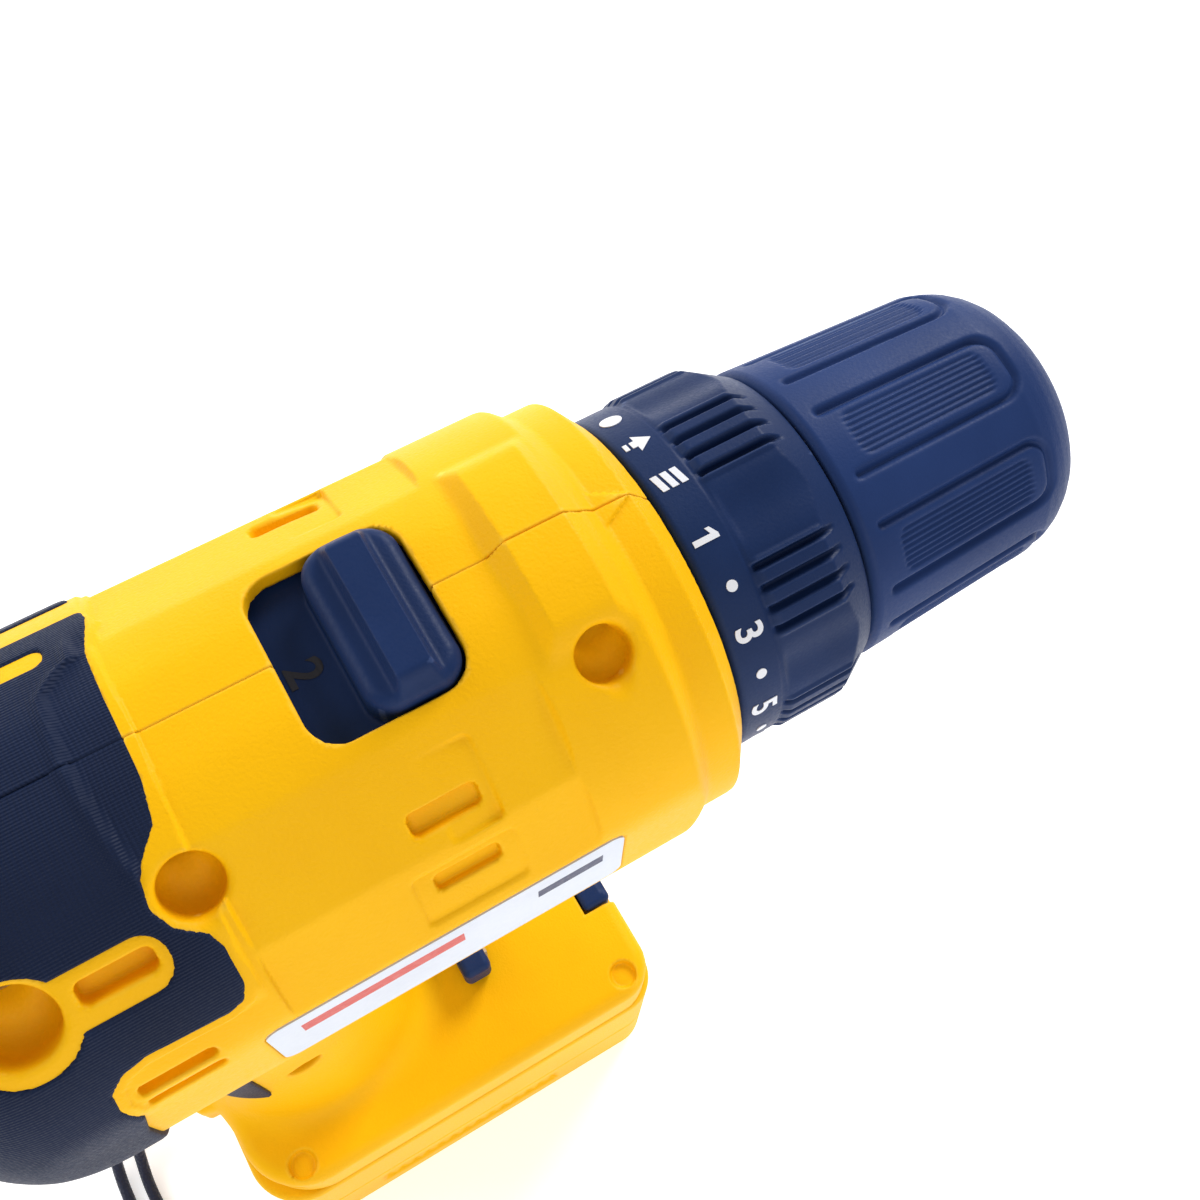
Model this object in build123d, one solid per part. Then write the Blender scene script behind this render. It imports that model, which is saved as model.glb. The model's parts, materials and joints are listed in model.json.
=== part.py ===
"""Cordless drill driver with a keyless chuck, torque collar, two-speed gearbox and slide-on battery.

The drill is designed in its own drill frame: the chuck axis is the X axis, the chuck points to +X,
+Z is up and X = 0 is the front face of the yellow housing. Every part is moved at export so that
the origin is the middle of the footprint, on the surface that the battery stands on.
"""
import os
from math import cos, sin, tan, radians, pi

from build123d import *

os.makedirs("parts", exist_ok=True)

# ---- overall -------------------------------------------------------------------------------
AXIS_HEIGHT = 178.0      # chuck axis above the standing surface
NOSE_X = 62.0            # front end of the chuck
TAIL_X = -105.0          # rear end of the housing
PLACE = Pos(-(NOSE_X + TAIL_X) / 2, 0, AXIS_HEIGHT)
WALL = 2.6               # housing wall
GAP = 0.4                # play between parts that move past each other
FIT = 0.05               # radial running clearance of shafts and rings

# ---- housing -------------------------------------------------------------------------------
BARREL_R = 31.0
BARREL_TOP = 30.7        # the top of the barrel is very slightly flattened
SIDE_Y = 29.8            # flat sides that carry the labels
BARREL_IN_R = 28.4
TAIL_ROUND = 18.0        # radius of the rounded tail
FLANGE_R = 29.0
FLANGE_FACE_R = 25.5     # after the front chamfer
FLANGE_CHAMFER = 2.7
NOSE_OPENING_R = 23.6
PAD_Y = 12.0             # half width of the raised pad behind the nose
PAD_PROFILE = [(-22.3, 30.4), (-19.3, 32.8), (-11.6, 32.8), (-7.3, 29.0), (-7.3, 20), (-22.3, 20)]

CAVITY = [(-101.4, 0), (-101.4, 18), (-90, BARREL_IN_R), (-11, BARREL_IN_R), (-11, 25.8),
          (-6.5, 25.8), (-6.5, 0)]
CAVITY_Y = 27.2          # the inside of the flat sides
VENTS = [(44, -42.4, -34.2), (59, -42.6, -34.6), (71, -80.4, -71.6), (79, -80.4, -71.6)]   # angle, X0, X1
VENT_HALF_WIDTH = 0.9
LABEL_X0, LABEL_X1, LABEL_Z, LABEL_DEEP = -67.0, -20.0, 8.0, 0.5
LABEL_MARGIN = 0.1
RUBBER_THICK = 0.8
RUBBER_OUTLINE = [(-110, 40), (-64.5, 40), (-64.5, 16), (-80.5, 16), (-83, 12), (-83, -18),
                  (-79, -40), (-80, -96), (-110, -96)]

# screws that hold the two halves: X, Z, and Y of the head's seat
SCREWS = [(-14.6, 25.6, 8.0), (-65.1, 25.4, 7.0), (-86.5, 22.0, 12.0),
          (-26.0, -25.8, 12.0), (-72.0, -84.0, 11.0), (-88.0, -125.0, 20.0)]
SCREW_HEAD_R, SCREW_HEAD_HIGH, SCREW_R, SCREW_TIP_Y = 2.5, 2.2, 1.4, 8.0
BOSS_R = 3.4

# trigger, direction lever and the fittings of the foot
TRIGGER_Z0, TRIGGER_Z1, TRIGGER_Y = -66.0, -38.5, 8.0
LEVER_X0, LEVER_X1, LEVER_Z0, LEVER_Z1, LEVER_Y = -73.0, -66.0, -36.6, -31.4, 21.8
SWITCH_X0, SWITCH_X1, SWITCH_Y = -83.0, -66.5, 9.5
LIGHT_X0, LIGHT_X1, LIGHT_Y, LIGHT_TOP = -40.2, -34.4, 12.2, -110.0
LENS_X0, LENS_X1, LENS_Y, LENS_Z0, LENS_Z1 = -35.6, -34.0, 9.0, -116.5, -111.5
TERMINAL_YS = (-12, -4, 4, 12)
BLADE_HALF = 0.4         # half the thickness of a terminal blade

# handle sections, top to bottom: height, middle in X, half length in X, half width in Y
HANDLE = [
    (-20.0, -76.0, 24.0, 20.0),
    (-42.0, -75.0, 20.5, 18.0),
    (-70.0, -73.5, 19.0, 17.0),
    (-98.0, -72.0, 19.5, 16.5),
    (-121.0, -69.0, 25.0, 20.0),
]

# foot that the battery slides onto
FOOT_X0, FOOT_X1 = -92.0, -5.7
FOOT_Y = 30.0
FOOT_TOP, FOOT_BASE = -118.0, -132.0
LUG_X = -97.0            # rear face of the strap lug
LUG_Y = 7.0
CHANNEL_X0 = -84.0
RAIL_Y, STEM_Y = 24.0, 20.0
RAIL_TOP, RAIL_BASE = -121.0, -128.0

# ---- speed selector ------------------------------------------------------------------------
SLOT_X0, SLOT_X1, SLOT_Y, SLOT_ROUND = -47.6, -28.6, 11.2, 4.0
KNOB_X0, KNOB_X1, KNOB_Y = -41.1, -29.0, 10.8
KNOB_TOP, KNOB_CORNER = 31.4, 3.6
RIB_X0, RIB_X1, RIB_TOP = -37.2, -32.6, 33.0
PLATE_X0, PLATE_X1 = -48.4, -22.4
PLATE_Z0, PLATE_Z1, PLATE_Y = 23.2, 25.2, 12.0

# ---- chuck and torque collar ---------------------------------------------------------------
COLLAR_X0, COLLAR_X1 = 0.8, 22.6
COLLAR_BAND_R, COLLAR_GRIP_R, COLLAR_IN_R = 24.3, 24.9, 18.6
SLEEVE_X0 = 23.4
SLEEVE_BASE_R, SLEEVE_FRONT_R, SLEEVE_IN_R = 21.75, 20.3, 19.0
CHUCK_R, CHUCK_BORE_R, CHUCK_BORE_X0 = 17.2, 6.6, 40.6
CHUCK_SCREW_X0, CHUCK_SCREW_HEAD_R, CHUCK_SCREW_R = 38.0, 4.6, 2.6    # head sunk below the grip bore
JAW_R, JAW_TILT = 2.8, 16.0
JAW_TIP_X, JAW_TAIL_X = 46.0, 25.5
JAW_START_R = 7.7        # distance of the jaw's centre line from the chuck axis at JAW_TIP_X
JAW_OPEN_R = 6.5         # the jaws' edges stand this far out when open
JAW_EDGE_ANGLE = 58      # half of the angle between the two flanks of a jaw's gripping edge
NUT_X0, NUT_X1 = 37.0, 43.0

# ---- gearbox -------------------------------------------------------------------------------
MODULE = 0.7
SUN_TEETH, PLANET_TEETH, RING_TEETH = 10, 20, 50
SUN_R, PLANET_R, RING_R = MODULE * 5, MODULE * 10, MODULE * 25
PLANET_ORBIT = SUN_R + PLANET_R
TIP_RELIEF = 0.06        # teeth stop this far short of the pitch circle, so that wheels never touch
TOOTH = 1.1
CASE_R, CASE_IN_R = 22.0, 20.0
CASE_X0, CASE_X1 = -43.0, -16.0
NOSE_TUBE_R, BEARING_R, SPINDLE_R = 13.0, 10.0, 6.0
NOSE_TUBE_X1 = 20.0
PIN_R = 2.0
STAGE_1 = (-42.0, -35.0)         # where the planets of each stage sit
STAGE_2 = (-31.2, -24.4)
CARRIER_R = 16.9
SPINDLE_X0, SPINDLE_X1 = -20.6, 36.0
STEP_X0, STEP_X1, STEP_R = -4.0, -1.0, 23.2      # collar on the case that centres it in the nose
WASHER_X0, WASHER_X1 = -0.8, 0.4
CLUTCH_NUT_X0, CLUTCH_NUT_X1 = 9.0, 14.0
CLIP_X0, CLIP_X1, CLIP_R = 17.5, 18.7, 17.4

# ---- motor ---------------------------------------------------------------------------------
CAN_R, CAN_X0, CAN_X1 = 18.0, -98.0, -46.0
SHAFT_R = 1.6
ARMATURE_R = 11.5
MAGNET_R = 12.2

# ---- battery -------------------------------------------------------------------------------
PACK_X0, PACK_X1, PACK_Y = -94.0, -4.5, 30.4
PACK_TOP, PACK_SPLIT, PACK_WALL = -132.4, -155.0, 2.0
CELL_R, CELL_LENGTH, CELL_PITCH = 9.2, 65.0, 18.7
PACK_CORNER = 8.0
RAIL_X0, RAIL_X1 = -77.6, -14.0
CELLS_X0 = -88.0
LATCH_X0, LATCH_X1, LATCH_Y = -12.2, -6.2, 10.8
LATCH_TOP, LATCH_STEP, LATCH_BASE = -117.6, -131.0, -137.0

# ---- wrist strap ---------------------------------------------------------------------------
STRAP_D = 2.6
FLOOR = -AXIS_HEIGHT + STRAP_D / 2 + 0.1
STRAP_ROUTE = [
    (LUG_X, 2.4, -124.0), (-105.0, 2.4, -124.0), (-112.0, 4.5, -129.0), (-116.5, 8.5, -139.0),
    (-119.5, 12.0, -151.5), (-122.5, 12.5, -164.5), (-125.0, 8.5, -174.5), (-126.5, -2.5, FLOOR),
    (-125.5, -16.5, FLOOR), (-128.5, -31.0, FLOOR), (-129.0, -46.0, FLOOR), (-120.5, -57.5, FLOOR),
    (-108.0, -56.0, FLOOR), (-104.5, -44.0, FLOOR), (-113.5, -31.0, FLOOR), (-119.5, -20.0, FLOOR),
    (-121.5, -5.5, FLOOR), (-120.0, 4.5, -174.0), (-117.5, 8.0, -164.0), (-115.0, 6.0, -151.5),
    (-112.5, 1.5, -139.0), (-109.5, -1.5, -129.5), (-104.5, -2.4, -124.0), (LUG_X, -2.4, -124.0),
]


# ---- small helpers -------------------------------------------------------------------------
def rod(x0, x1, r, y=0.0, z=0.0):
    """Cylinder along X."""
    return Pos((x0 + x1) / 2, y, z) * Rot(0, 90, 0) * Cylinder(r, x1 - x0)


def cross_rod(y0, y1, r, x, z):
    """Cylinder along Y."""
    return Pos(x, (y0 + y1) / 2, z) * Rot(90, 0, 0) * Cylinder(r, y1 - y0)


def tube(x0, x1, r_out, r_in):
    return rod(x0, x1, r_out) - rod(x0 - 1, x1 + 1, r_in)


def block(x0, x1, y0, y1, z0, z1):
    return Pos((x0 + x1) / 2, (y0 + y1) / 2, (z0 + z1) / 2) * Box(x1 - x0, y1 - y0, z1 - z0)


def side_prism(points, y):
    """Outline in X and Z, extruded from -y to +y."""
    outline = Polyline(*[(px, -y, pz) for px, pz in points], close=True)
    return extrude(make_face(outline), amount=2 * y, dir=(0, 1, 0))


def turned(points):
    """Outline in X and radius, turned about the chuck axis."""
    outline = Polyline(*[(px, 0, pr) for px, pr in points], close=True)
    return revolve(make_face(outline), axis=Axis.X, revolution_arc=360)


def around(shape, count, start=0.0):
    """Copies of a shape, evenly spaced about the chuck axis."""
    return [Rot(start + 360 * k / count, 0, 0) * shape for k in range(count)]


def joined(shapes):
    total = shapes[0]
    for shape in shapes[1:]:
        total = total + shape
    return total


def halves(shape):
    """The right (-Y) and left (+Y) halves of a shape."""
    reach = 400
    right = shape & block(-reach, reach, -reach, 0, -reach, reach)
    left = shape & block(-reach, reach, 0, reach, -reach, reach)
    return right, left


def write(name, shape):
    export_step(PLACE * shape, f"parts/{name}.step")


# ---- housing -------------------------------------------------------------------------------
def barrel(grow=0.0):
    """The round body with flat sides, larger by grow all over."""
    r = BARREL_R + grow
    tail = TAIL_X - grow
    bend = TAIL_ROUND * (1 - cos(radians(45)))
    outline = [
        Line((tail, 0, 0), (tail, 0, r - TAIL_ROUND)),
        ThreePointArc((tail, 0, r - TAIL_ROUND), (tail + bend, 0, r - bend), (tail + TAIL_ROUND, 0, r)),
        Line((tail + TAIL_ROUND, 0, r), (-5, 0, r)),
        Line((-5, 0, r), (-5, 0, 0)),
        Line((-5, 0, 0), (tail, 0, 0)),
    ]
    body = revolve(make_face(Wire(outline)), axis=Axis.X, revolution_arc=360)
    side = SIDE_Y + grow
    return body & block(tail - 1, -FLANGE_CHAMFER, -side, side, -r, BARREL_TOP + grow)


def handle(grow=0.0, z_low=-121.0):
    sections = [Pos(x, 0, z) * Ellipse(a + grow, b + grow) for z, x, a, b in HANDLE]
    column = loft(sections)
    return column & block(-200, 0, -60, 60, z_low, 0)


def foot():
    body = block(FOOT_X0, FOOT_X1, -FOOT_Y, FOOT_Y, FOOT_BASE, FOOT_TOP)
    body = fillet(body.edges().filter_by(Axis.Z), 7)
    body = fillet(body.edges().group_by(Axis.Z)[-1], 3)
    lug = block(LUG_X, FOOT_X0 + 4, -LUG_Y, LUG_Y, FOOT_BASE + 1, FOOT_TOP - 1)
    return body + fillet(lug.edges().filter_by(Axis.Z).group_by(Axis.X)[0], 3)


def nose():
    flange = turned([(-9, 0), (-9, FLANGE_R), (-FLANGE_CHAMFER, FLANGE_R), (0, FLANGE_FACE_R), (0, 0)])
    return flange + side_prism(PAD_PROFILE, PAD_Y)


def screw_bosses(outside):
    """Bosses inside the halves that the screws run through, kept within the outer shape."""
    return [cross_rod(-26, 26, BOSS_R, x, z) & outside for x, z, _ in SCREWS[:-1]]


def screw_holes():
    holes = []
    for x, z, seat in SCREWS:
        holes.append(cross_rod(-40, -seat, SCREW_HEAD_R, x, z))
        holes.append(cross_rod(-seat - 1, SCREW_TIP_Y, SCREW_R, x, z))
    return holes


def selector_slot():
    slot = block(SLOT_X0, SLOT_X1, -SLOT_Y, SLOT_Y, PLATE_Z1 - 1, 40)
    return fillet(slot.edges().filter_by(Axis.Z), SLOT_ROUND)


def vents():
    """Two cooling slots through each shoulder of the barrel and two low on each side."""
    slots = []
    for side in (-1, 1):
        for angle, x0, x1 in VENTS:
            slot = block(x0, x1, -VENT_HALF_WIDTH, VENT_HALF_WIDTH, BARREL_IN_R - 2, BARREL_R + 3)
            slots.append(Rot(-side * angle, 0, 0) * slot)
    return slots


def housing():
    outside = barrel() + handle() + foot() + nose()
    inside = turned(CAVITY) & block(-200, 0, -CAVITY_Y, CAVITY_Y, -40, 40)
    inside = inside + (handle(-WALL, -114) & block(-200, 0, -60, 60, -114, 0))
    shell = outside - inside - rod(-9, 1, NOSE_OPENING_R)
    bosses = [boss & inside for boss in screw_bosses(outside)]
    shell = shell + joined(bosses)
    cuts = screw_holes() + vents()
    cuts.append(selector_slot())
    cuts.append(block(-60, -30, -TRIGGER_Y - GAP, TRIGGER_Y + GAP, TRIGGER_Z0 - GAP, TRIGGER_Z1 + GAP))
    cuts.append(block(LEVER_X0 - GAP, LEVER_X1 + GAP, -40, 40, LEVER_Z0 - GAP, LEVER_Z1 + GAP))
    cuts.append(block(CHANNEL_X0, 0, -RAIL_Y, RAIL_Y, RAIL_BASE, RAIL_TOP))
    cuts.append(block(CHANNEL_X0, 0, -STEM_Y, STEM_Y, FOOT_BASE - 1, RAIL_BASE + 1))
    latch_y = LATCH_Y + GAP
    cuts.append(block(LATCH_X0 - GAP, 0, -latch_y, latch_y, FOOT_BASE - 1, FOOT_TOP + 8))
    cuts.append(rod(-86, CASE_X0, CAN_R))
    for side in (-1, 1):
        y0, y1 = sorted((side * (SIDE_Y - LABEL_DEEP), side * (SIDE_Y + 2)))
        cuts.append(block(LABEL_X0, LABEL_X1, y0, y1, -LABEL_Z, LABEL_Z))
    for cut in cuts:
        shell = shell - cut
    return shell, outside


def grip_rubber(outside):
    """Soft skin over the tail and down the back of the handle."""
    skin = (barrel(RUBBER_THICK) + handle(RUBBER_THICK, -96)) - outside
    skin = skin & side_prism(RUBBER_OUTLINE, 60)
    skin = skin - block(LEVER_X0 - 2, 0, -60, 60, LEVER_Z0 - 2, LEVER_Z1 + 2)
    for hole in screw_holes():
        skin = skin - hole
    return skin


def label():
    high = LABEL_Z - LABEL_MARGIN
    plate = block(LABEL_X0 + LABEL_MARGIN, LABEL_X1 - LABEL_MARGIN, -SIDE_Y + LABEL_MARGIN,
                  -SIDE_Y + LABEL_DEEP, -high, high)
    return fillet(plate.edges().filter_by(Axis.Y), 2)


def housing_screws():
    screws = []
    for x, z, seat in SCREWS:
        head = cross_rod(-seat - SCREW_HEAD_HIGH, -seat, SCREW_HEAD_R - 0.1, x, z)
        socket = Pos(x, -seat - SCREW_HEAD_HIGH, z) * (Box(3.0, 1.6, 0.7) + Box(0.7, 1.6, 3.0))
        screws.append(head + cross_rod(-seat - 0.1, SCREW_TIP_Y, SCREW_R, x, z) - socket)
    return Compound(screws)


# ---- speed selector ------------------------------------------------------------------------
def speed_selector():
    plate = block(PLATE_X0, PLATE_X1, -PLATE_Y, PLATE_Y, PLATE_Z0, PLATE_Z1)
    knob = block(KNOB_X0, KNOB_X1, -KNOB_Y, KNOB_Y, PLATE_Z1 - 0.1, KNOB_TOP)
    knob = fillet(knob.edges().filter_by(Axis.Z), KNOB_CORNER)
    knob = fillet(knob.edges().group_by(Axis.Z)[-1], 1.2)
    rib = block(RIB_X0, RIB_X1, -KNOB_Y + 0.4, KNOB_Y - 0.4, KNOB_TOP - 1.4, RIB_TOP)
    rib = fillet(rib.edges().group_by(Axis.Z)[-1], 1.4)
    return plate + knob + rib


# ---- gearbox -------------------------------------------------------------------------------
def toothed_outline(teeth, tip_r, root_r, x):
    """Straight-sided teeth between two circles, in a plane across the chuck axis."""
    points = []
    pitch = 2 * pi / teeth
    for k in range(teeth):
        for share, r in ((-0.34, root_r), (-0.16, tip_r), (0.16, tip_r), (0.34, root_r)):
            angle = (k + share) * pitch
            points.append((x, r * cos(angle), r * sin(angle)))
    return make_face(Polyline(*points, close=True))


def wheel(teeth, pitch_r, x0, x1, bore_r):
    outline = toothed_outline(teeth, pitch_r - TIP_RELIEF, pitch_r - TOOTH, x0)
    body = extrude(outline, amount=x1 - x0, dir=(1, 0, 0))
    return body - rod(x0 - 1, x1 + 1, bore_r) if bore_r else body


def ring_gear(x0, x1, r_out):
    teeth = extrude(toothed_outline(RING_TEETH, RING_R + TIP_RELIEF, RING_R + TOOTH, x0 - 1),
                    amount=x1 - x0 + 2, dir=(1, 0, 0))
    return rod(x0, x1, r_out) - teeth


def orbit(k):
    """Y and Z of planet k."""
    angle = radians(90 + 120 * k)
    return PLANET_ORBIT * cos(angle), PLANET_ORBIT * sin(angle)


def planet(stage, k):
    y, z = orbit(k)
    x0, x1 = stage
    return Pos(0, y, z) * wheel(PLANET_TEETH, PLANET_R, x0, x1, PIN_R + FIT)


def carrier(stage, disc_x1):
    disc = rod(stage[1] + 0.5, disc_x1, CARRIER_R)
    pins = [rod(stage[0], stage[1] + 1, PIN_R, *orbit(k)) for k in range(3)]
    return disc + joined(pins)


def first_carrier():
    return carrier(STAGE_1, -32.2) + wheel(SUN_TEETH, SUN_R, -32.3, STAGE_2[1] + 0.1, 0)


def output_carrier():
    return carrier(STAGE_2, SPINDLE_X0)


def spindle():
    shaft = rod(SPINDLE_X0, SPINDLE_X1, SPINDLE_R)
    return shaft - rod(SPINDLE_X1 - 10, SPINDLE_X1 + 1, CHUCK_SCREW_R)


def gearbox_case():
    case = tube(CASE_X0, CASE_X1 - 2.4, CASE_R, CASE_IN_R)
    front = tube(CASE_X1 - 2.4, CASE_X1, CASE_R, SPINDLE_R + 1)
    nose_tube = tube(CASE_X1, NOSE_TUBE_X1, NOSE_TUBE_R, BEARING_R)
    fork_window = block(-35.4, -23, -2.6, 2.6, CASE_IN_R - 1, CASE_R + 1)
    step = tube(STEP_X0, STEP_X1, STEP_R, NOSE_TUBE_R) + tube(CASE_X1 - 0.1, STEP_X0, CASE_R, 20.4)
    return case + front + nose_tube + step - fork_window


def gearbox_cover():
    return tube(CASE_X0 - 2.4, CASE_X0, CASE_R, 5.4)


def shift_ring():
    return ring_gear(-31.6, -23.8, CASE_IN_R - FIT)


def shift_fork():
    bow = tube(-29.4, -27.8, 22.9, CASE_R + 0.3) & block(-40, 0, -16, 16, 14, 40)
    peg = block(-29.4, -27.8, -1.6, 1.6, CASE_IN_R - 0.3, 22.4) - rod(-40, -20, CASE_IN_R - FIT)
    return bow + peg


def bearing(x0, x1, r_out, r_in):
    """A ball bearing: two races and a ring of balls between them."""
    race = (r_out - r_in) * 0.28
    middle = (r_out + r_in) / 2
    ball_r = (r_out - r_in) / 2 - race + 0.25
    outer = tube(x0, x1, r_out, r_out - race)
    inner = tube(x0, x1, r_in + race, r_in)
    ball = Pos((x0 + x1) / 2, 0, middle) * Sphere(ball_r)
    balls = around(ball, 8)
    return joined([outer, inner] + balls)


def clutch_washer():
    return tube(WASHER_X0, WASHER_X1, 18.2, NOSE_TUBE_R + 0.1)


def coil_spring(x0, x1, coil_r, wire_r, turns):
    path = Helix(pitch=(x1 - x0 - 2 * wire_r) / turns, height=x1 - x0 - 2 * wire_r, radius=coil_r,
                 center=(x0 + wire_r, 0, 0), direction=(1, 0, 0))
    start = path @ 0
    section = Plane(origin=start, z_dir=path % 0) * Circle(wire_r)
    return sweep(section, path=path)


def clutch_nut():
    return tube(CLUTCH_NUT_X0, CLUTCH_NUT_X1, COLLAR_IN_R, NOSE_TUBE_R + FIT)


def collar_clip():
    clip = tube(CLIP_X0, CLIP_X1, CLIP_R, NOSE_TUBE_R)
    return clip - block(CLIP_X0 - 0.5, CLIP_X1 + 0.8, -3, 3, -20, 0)


# ---- torque collar -------------------------------------------------------------------------
def torque_collar():
    body = turned([(COLLAR_X0, COLLAR_IN_R), (COLLAR_X0, COLLAR_BAND_R), (6.8, COLLAR_BAND_R),
                   (7.2, COLLAR_GRIP_R), (18.0, COLLAR_GRIP_R - 0.4), (COLLAR_X1, 21.9),
                   (COLLAR_X1, COLLAR_IN_R), (17.2, COLLAR_IN_R), (17.2, 14.5), (15.4, 14.5),
                   (15.4, COLLAR_IN_R)])
    scallop = block(7.4, 30, -5.2, 5.2, COLLAR_GRIP_R - 0.9, 40)
    for cut in around(scallop, 9, 20):
        body = body - cut
    return body


# ---- chuck ---------------------------------------------------------------------------------
def jaw_line(x):
    """Distance of a jaw's centre line from the chuck axis."""
    return JAW_START_R + (JAW_TIP_X - x) * tan(radians(JAW_TILT))


def jaw_rod(x0, x1, r):
    """Cylinder on the centre line of the upper jaw, between two places along X."""
    middle = (x0 + x1) / 2
    length = (x1 - x0) / cos(radians(JAW_TILT))
    return Pos(middle, 0, jaw_line(middle)) * Rot(0, 90 + JAW_TILT, 0) * Cylinder(r, length)


def jaw():
    body = jaw_rod(JAW_TAIL_X, JAW_TIP_X + 2, JAW_R) & block(JAW_TAIL_X + 1, JAW_TIP_X, -9, 9, 0, 30)
    reach = 20
    side = reach * tan(radians(JAW_EDGE_ANGLE))
    corners = [(0, JAW_OPEN_R), (side, JAW_OPEN_R + reach), (-side, JAW_OPEN_R + reach)]
    wedge = Polyline(*[(JAW_TAIL_X - 5, y, z) for y, z in corners], close=True)
    return body & extrude(make_face(wedge), amount=60, dir=(1, 0, 0))


def chuck_body():
    body = turned([(24.4, 0), (24.4, 12), (28, CHUCK_R), (52, CHUCK_R), (54, 14.6), (NOSE_X - 1, 12.8),
                   (NOSE_X, 11.8), (NOSE_X, 0)])
    body = body - rod(20, 36, SPINDLE_R) - rod(30, 40, CHUCK_SCREW_R) - rod(CHUCK_BORE_X0, 70, CHUCK_BORE_R)
    body = body - rod(CHUCK_SCREW_X0, CHUCK_BORE_X0 + 0.1, CHUCK_SCREW_HEAD_R + 0.2)
    mouth = turned([(NOSE_X - 1.2, 0), (NOSE_X - 1.2, CHUCK_BORE_R), (NOSE_X + 0.1, 8.2),
                    (NOSE_X + 0.1, 0)])
    body = body - mouth
    for hole in around(jaw_rod(JAW_TAIL_X - 12, 72, JAW_R + 0.08), 3):
        body = body - hole
    return body


def chuck_screw():
    head = rod(CHUCK_SCREW_X0, CHUCK_SCREW_X0 + 2.4, CHUCK_SCREW_HEAD_R)
    screw = head + rod(26, CHUCK_SCREW_X0 + 0.5, CHUCK_SCREW_R)
    return screw - rod(CHUCK_SCREW_X0 + 1.0, CHUCK_SCREW_X0 + 3, 1.6)


def chuck_nut():
    return tube(NUT_X0, NUT_X1, SLEEVE_IN_R, CHUCK_R + 0.1)


def chuck_sleeve():
    body = turned([(SLEEVE_X0, 18.4), (SLEEVE_X0, SLEEVE_BASE_R - 0.6), (SLEEVE_X0 + 0.8, SLEEVE_BASE_R),
                   (53, SLEEVE_FRONT_R), (56.5, 19.2), (59.5, 17.0), (61.2, 14.6), (61.2, 14.0),
                   (54.8, 15.2), (52.6, SLEEVE_IN_R), (NUT_X0 - 4, SLEEVE_IN_R),
                   (SLEEVE_X0 + 2, SLEEVE_IN_R)])
    groove = block(27, 53, -0.6, 0.6, SLEEVE_BASE_R - 1.3, 30)
    for start in (-5, 20):
        for cut in around(groove, 8, start):
            body = body - cut
    return body


def chuck_rear_ring():
    return tube(24.0, 25.6, 17.6, 12.4) - turned([(24.3, 0), (24.4, 12.4), (29, 18.4), (30, 0)])


# ---- motor ---------------------------------------------------------------------------------
def motor_can():
    can = tube(CAN_X0, CAN_X1, CAN_R, CAN_R - 1.3) + tube(CAN_X1 - 1.2, CAN_X1, CAN_R, 5.0)
    for cut in around(block(-56, -50, -4, 4, 14, 20), 4, 45):
        can = can - cut
    return can


def motor_magnets():
    ring = tube(-86, -54, CAN_R - 1.3, MAGNET_R)
    keep = block(-90, -50, -20, 20, 5, 20) + block(-90, -50, -20, 20, -20, -5)
    return ring & keep


def armature():
    stack = rod(-84, -56, ARMATURE_R)
    for cut in around(block(-85, -55, -1.0, 1.0, 7, 13), 5):
        stack = stack - cut
    return stack - rod(-90, -50, SHAFT_R)


def windings():
    front = tube(-56, -51, 9.6, SHAFT_R)
    rear = tube(-88, -84, 9.6, SHAFT_R)
    return Compound([fillet(part.edges().filter_by(GeomType.CIRCLE), 1.2) for part in (front, rear)])


def commutator():
    drum = tube(-96, -88, 5.6, SHAFT_R)
    for cut in around(block(-96.5, -89, -0.3, 0.3, 4.6, 7), 5):
        drum = drum - cut
    return drum


def motor_shaft():
    return rod(-100.5, -35.4, SHAFT_R)


def motor_pinion():
    return wheel(SUN_TEETH, SUN_R, -42.4, -35.4, SHAFT_R)


def brushes():
    upper = block(-94, -90, -2, 2, 5.7, 13.6)
    return Compound([upper, Rot(180, 0, 0) * upper])


def motor_end_cap():
    cap = rod(CAN_X0 - 3.4, CAN_X0, CAN_R - 0.6) + tube(CAN_X0, -89, CAN_R - 1.3, 14)
    return cap - rod(-101, -98, 3.8) - rod(-110, -96, SHAFT_R + 0.6)


# ---- switch, trigger and direction lever ------------------------------------------------------
def trigger():
    outline = [(-58, TRIGGER_Z1), (-45.5, TRIGGER_Z1), (-43.8, -42), (-45.4, -48), (-46.2, -53),
               (-45.6, -59), (-43.6, TRIGGER_Z0 + 1), (-45.5, TRIGGER_Z0), (-58, TRIGGER_Z0)]
    body = side_prism(outline, TRIGGER_Y)
    return body - block(-60, -50, -5.5, 5.5, -60, -44)


def switch_module():
    body = block(SWITCH_X0, SWITCH_X1, -SWITCH_Y, SWITCH_Y, -70, -40)
    return body + rod(SWITCH_X1 - 0.1, SWITCH_X1 + 1.9, 4, 0, -52)


def direction_lever():
    bar = block(LEVER_X0, LEVER_X1, -LEVER_Y, LEVER_Y, LEVER_Z0, LEVER_Z1)
    return fillet(bar.edges().filter_by(Axis.Z), 1.5)


# ---- foot fittings -------------------------------------------------------------------------
def light_housing():
    body = block(LIGHT_X0, LIGHT_X1, -LIGHT_Y, LIGHT_Y, FOOT_TOP, LIGHT_TOP)
    body = fillet(body.edges().filter_by(Axis.Z), 1.5)
    return body - block(LENS_X0, LIGHT_X1 + 4, -LENS_Y, LENS_Y, LENS_Z0, LENS_Z1)


def light_lens():
    return block(LENS_X0, LENS_X1, -LENS_Y, LENS_Y, LENS_Z0, LENS_Z1)


def terminal_block():
    body = block(CHANNEL_X0, -79, -18, 18, -127.6, RAIL_TOP)
    for y in TERMINAL_YS:
        body = body + block(-79.1, -72.5, y - BLADE_HALF, y + BLADE_HALF, -126.6, -122.4)
    return body


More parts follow.
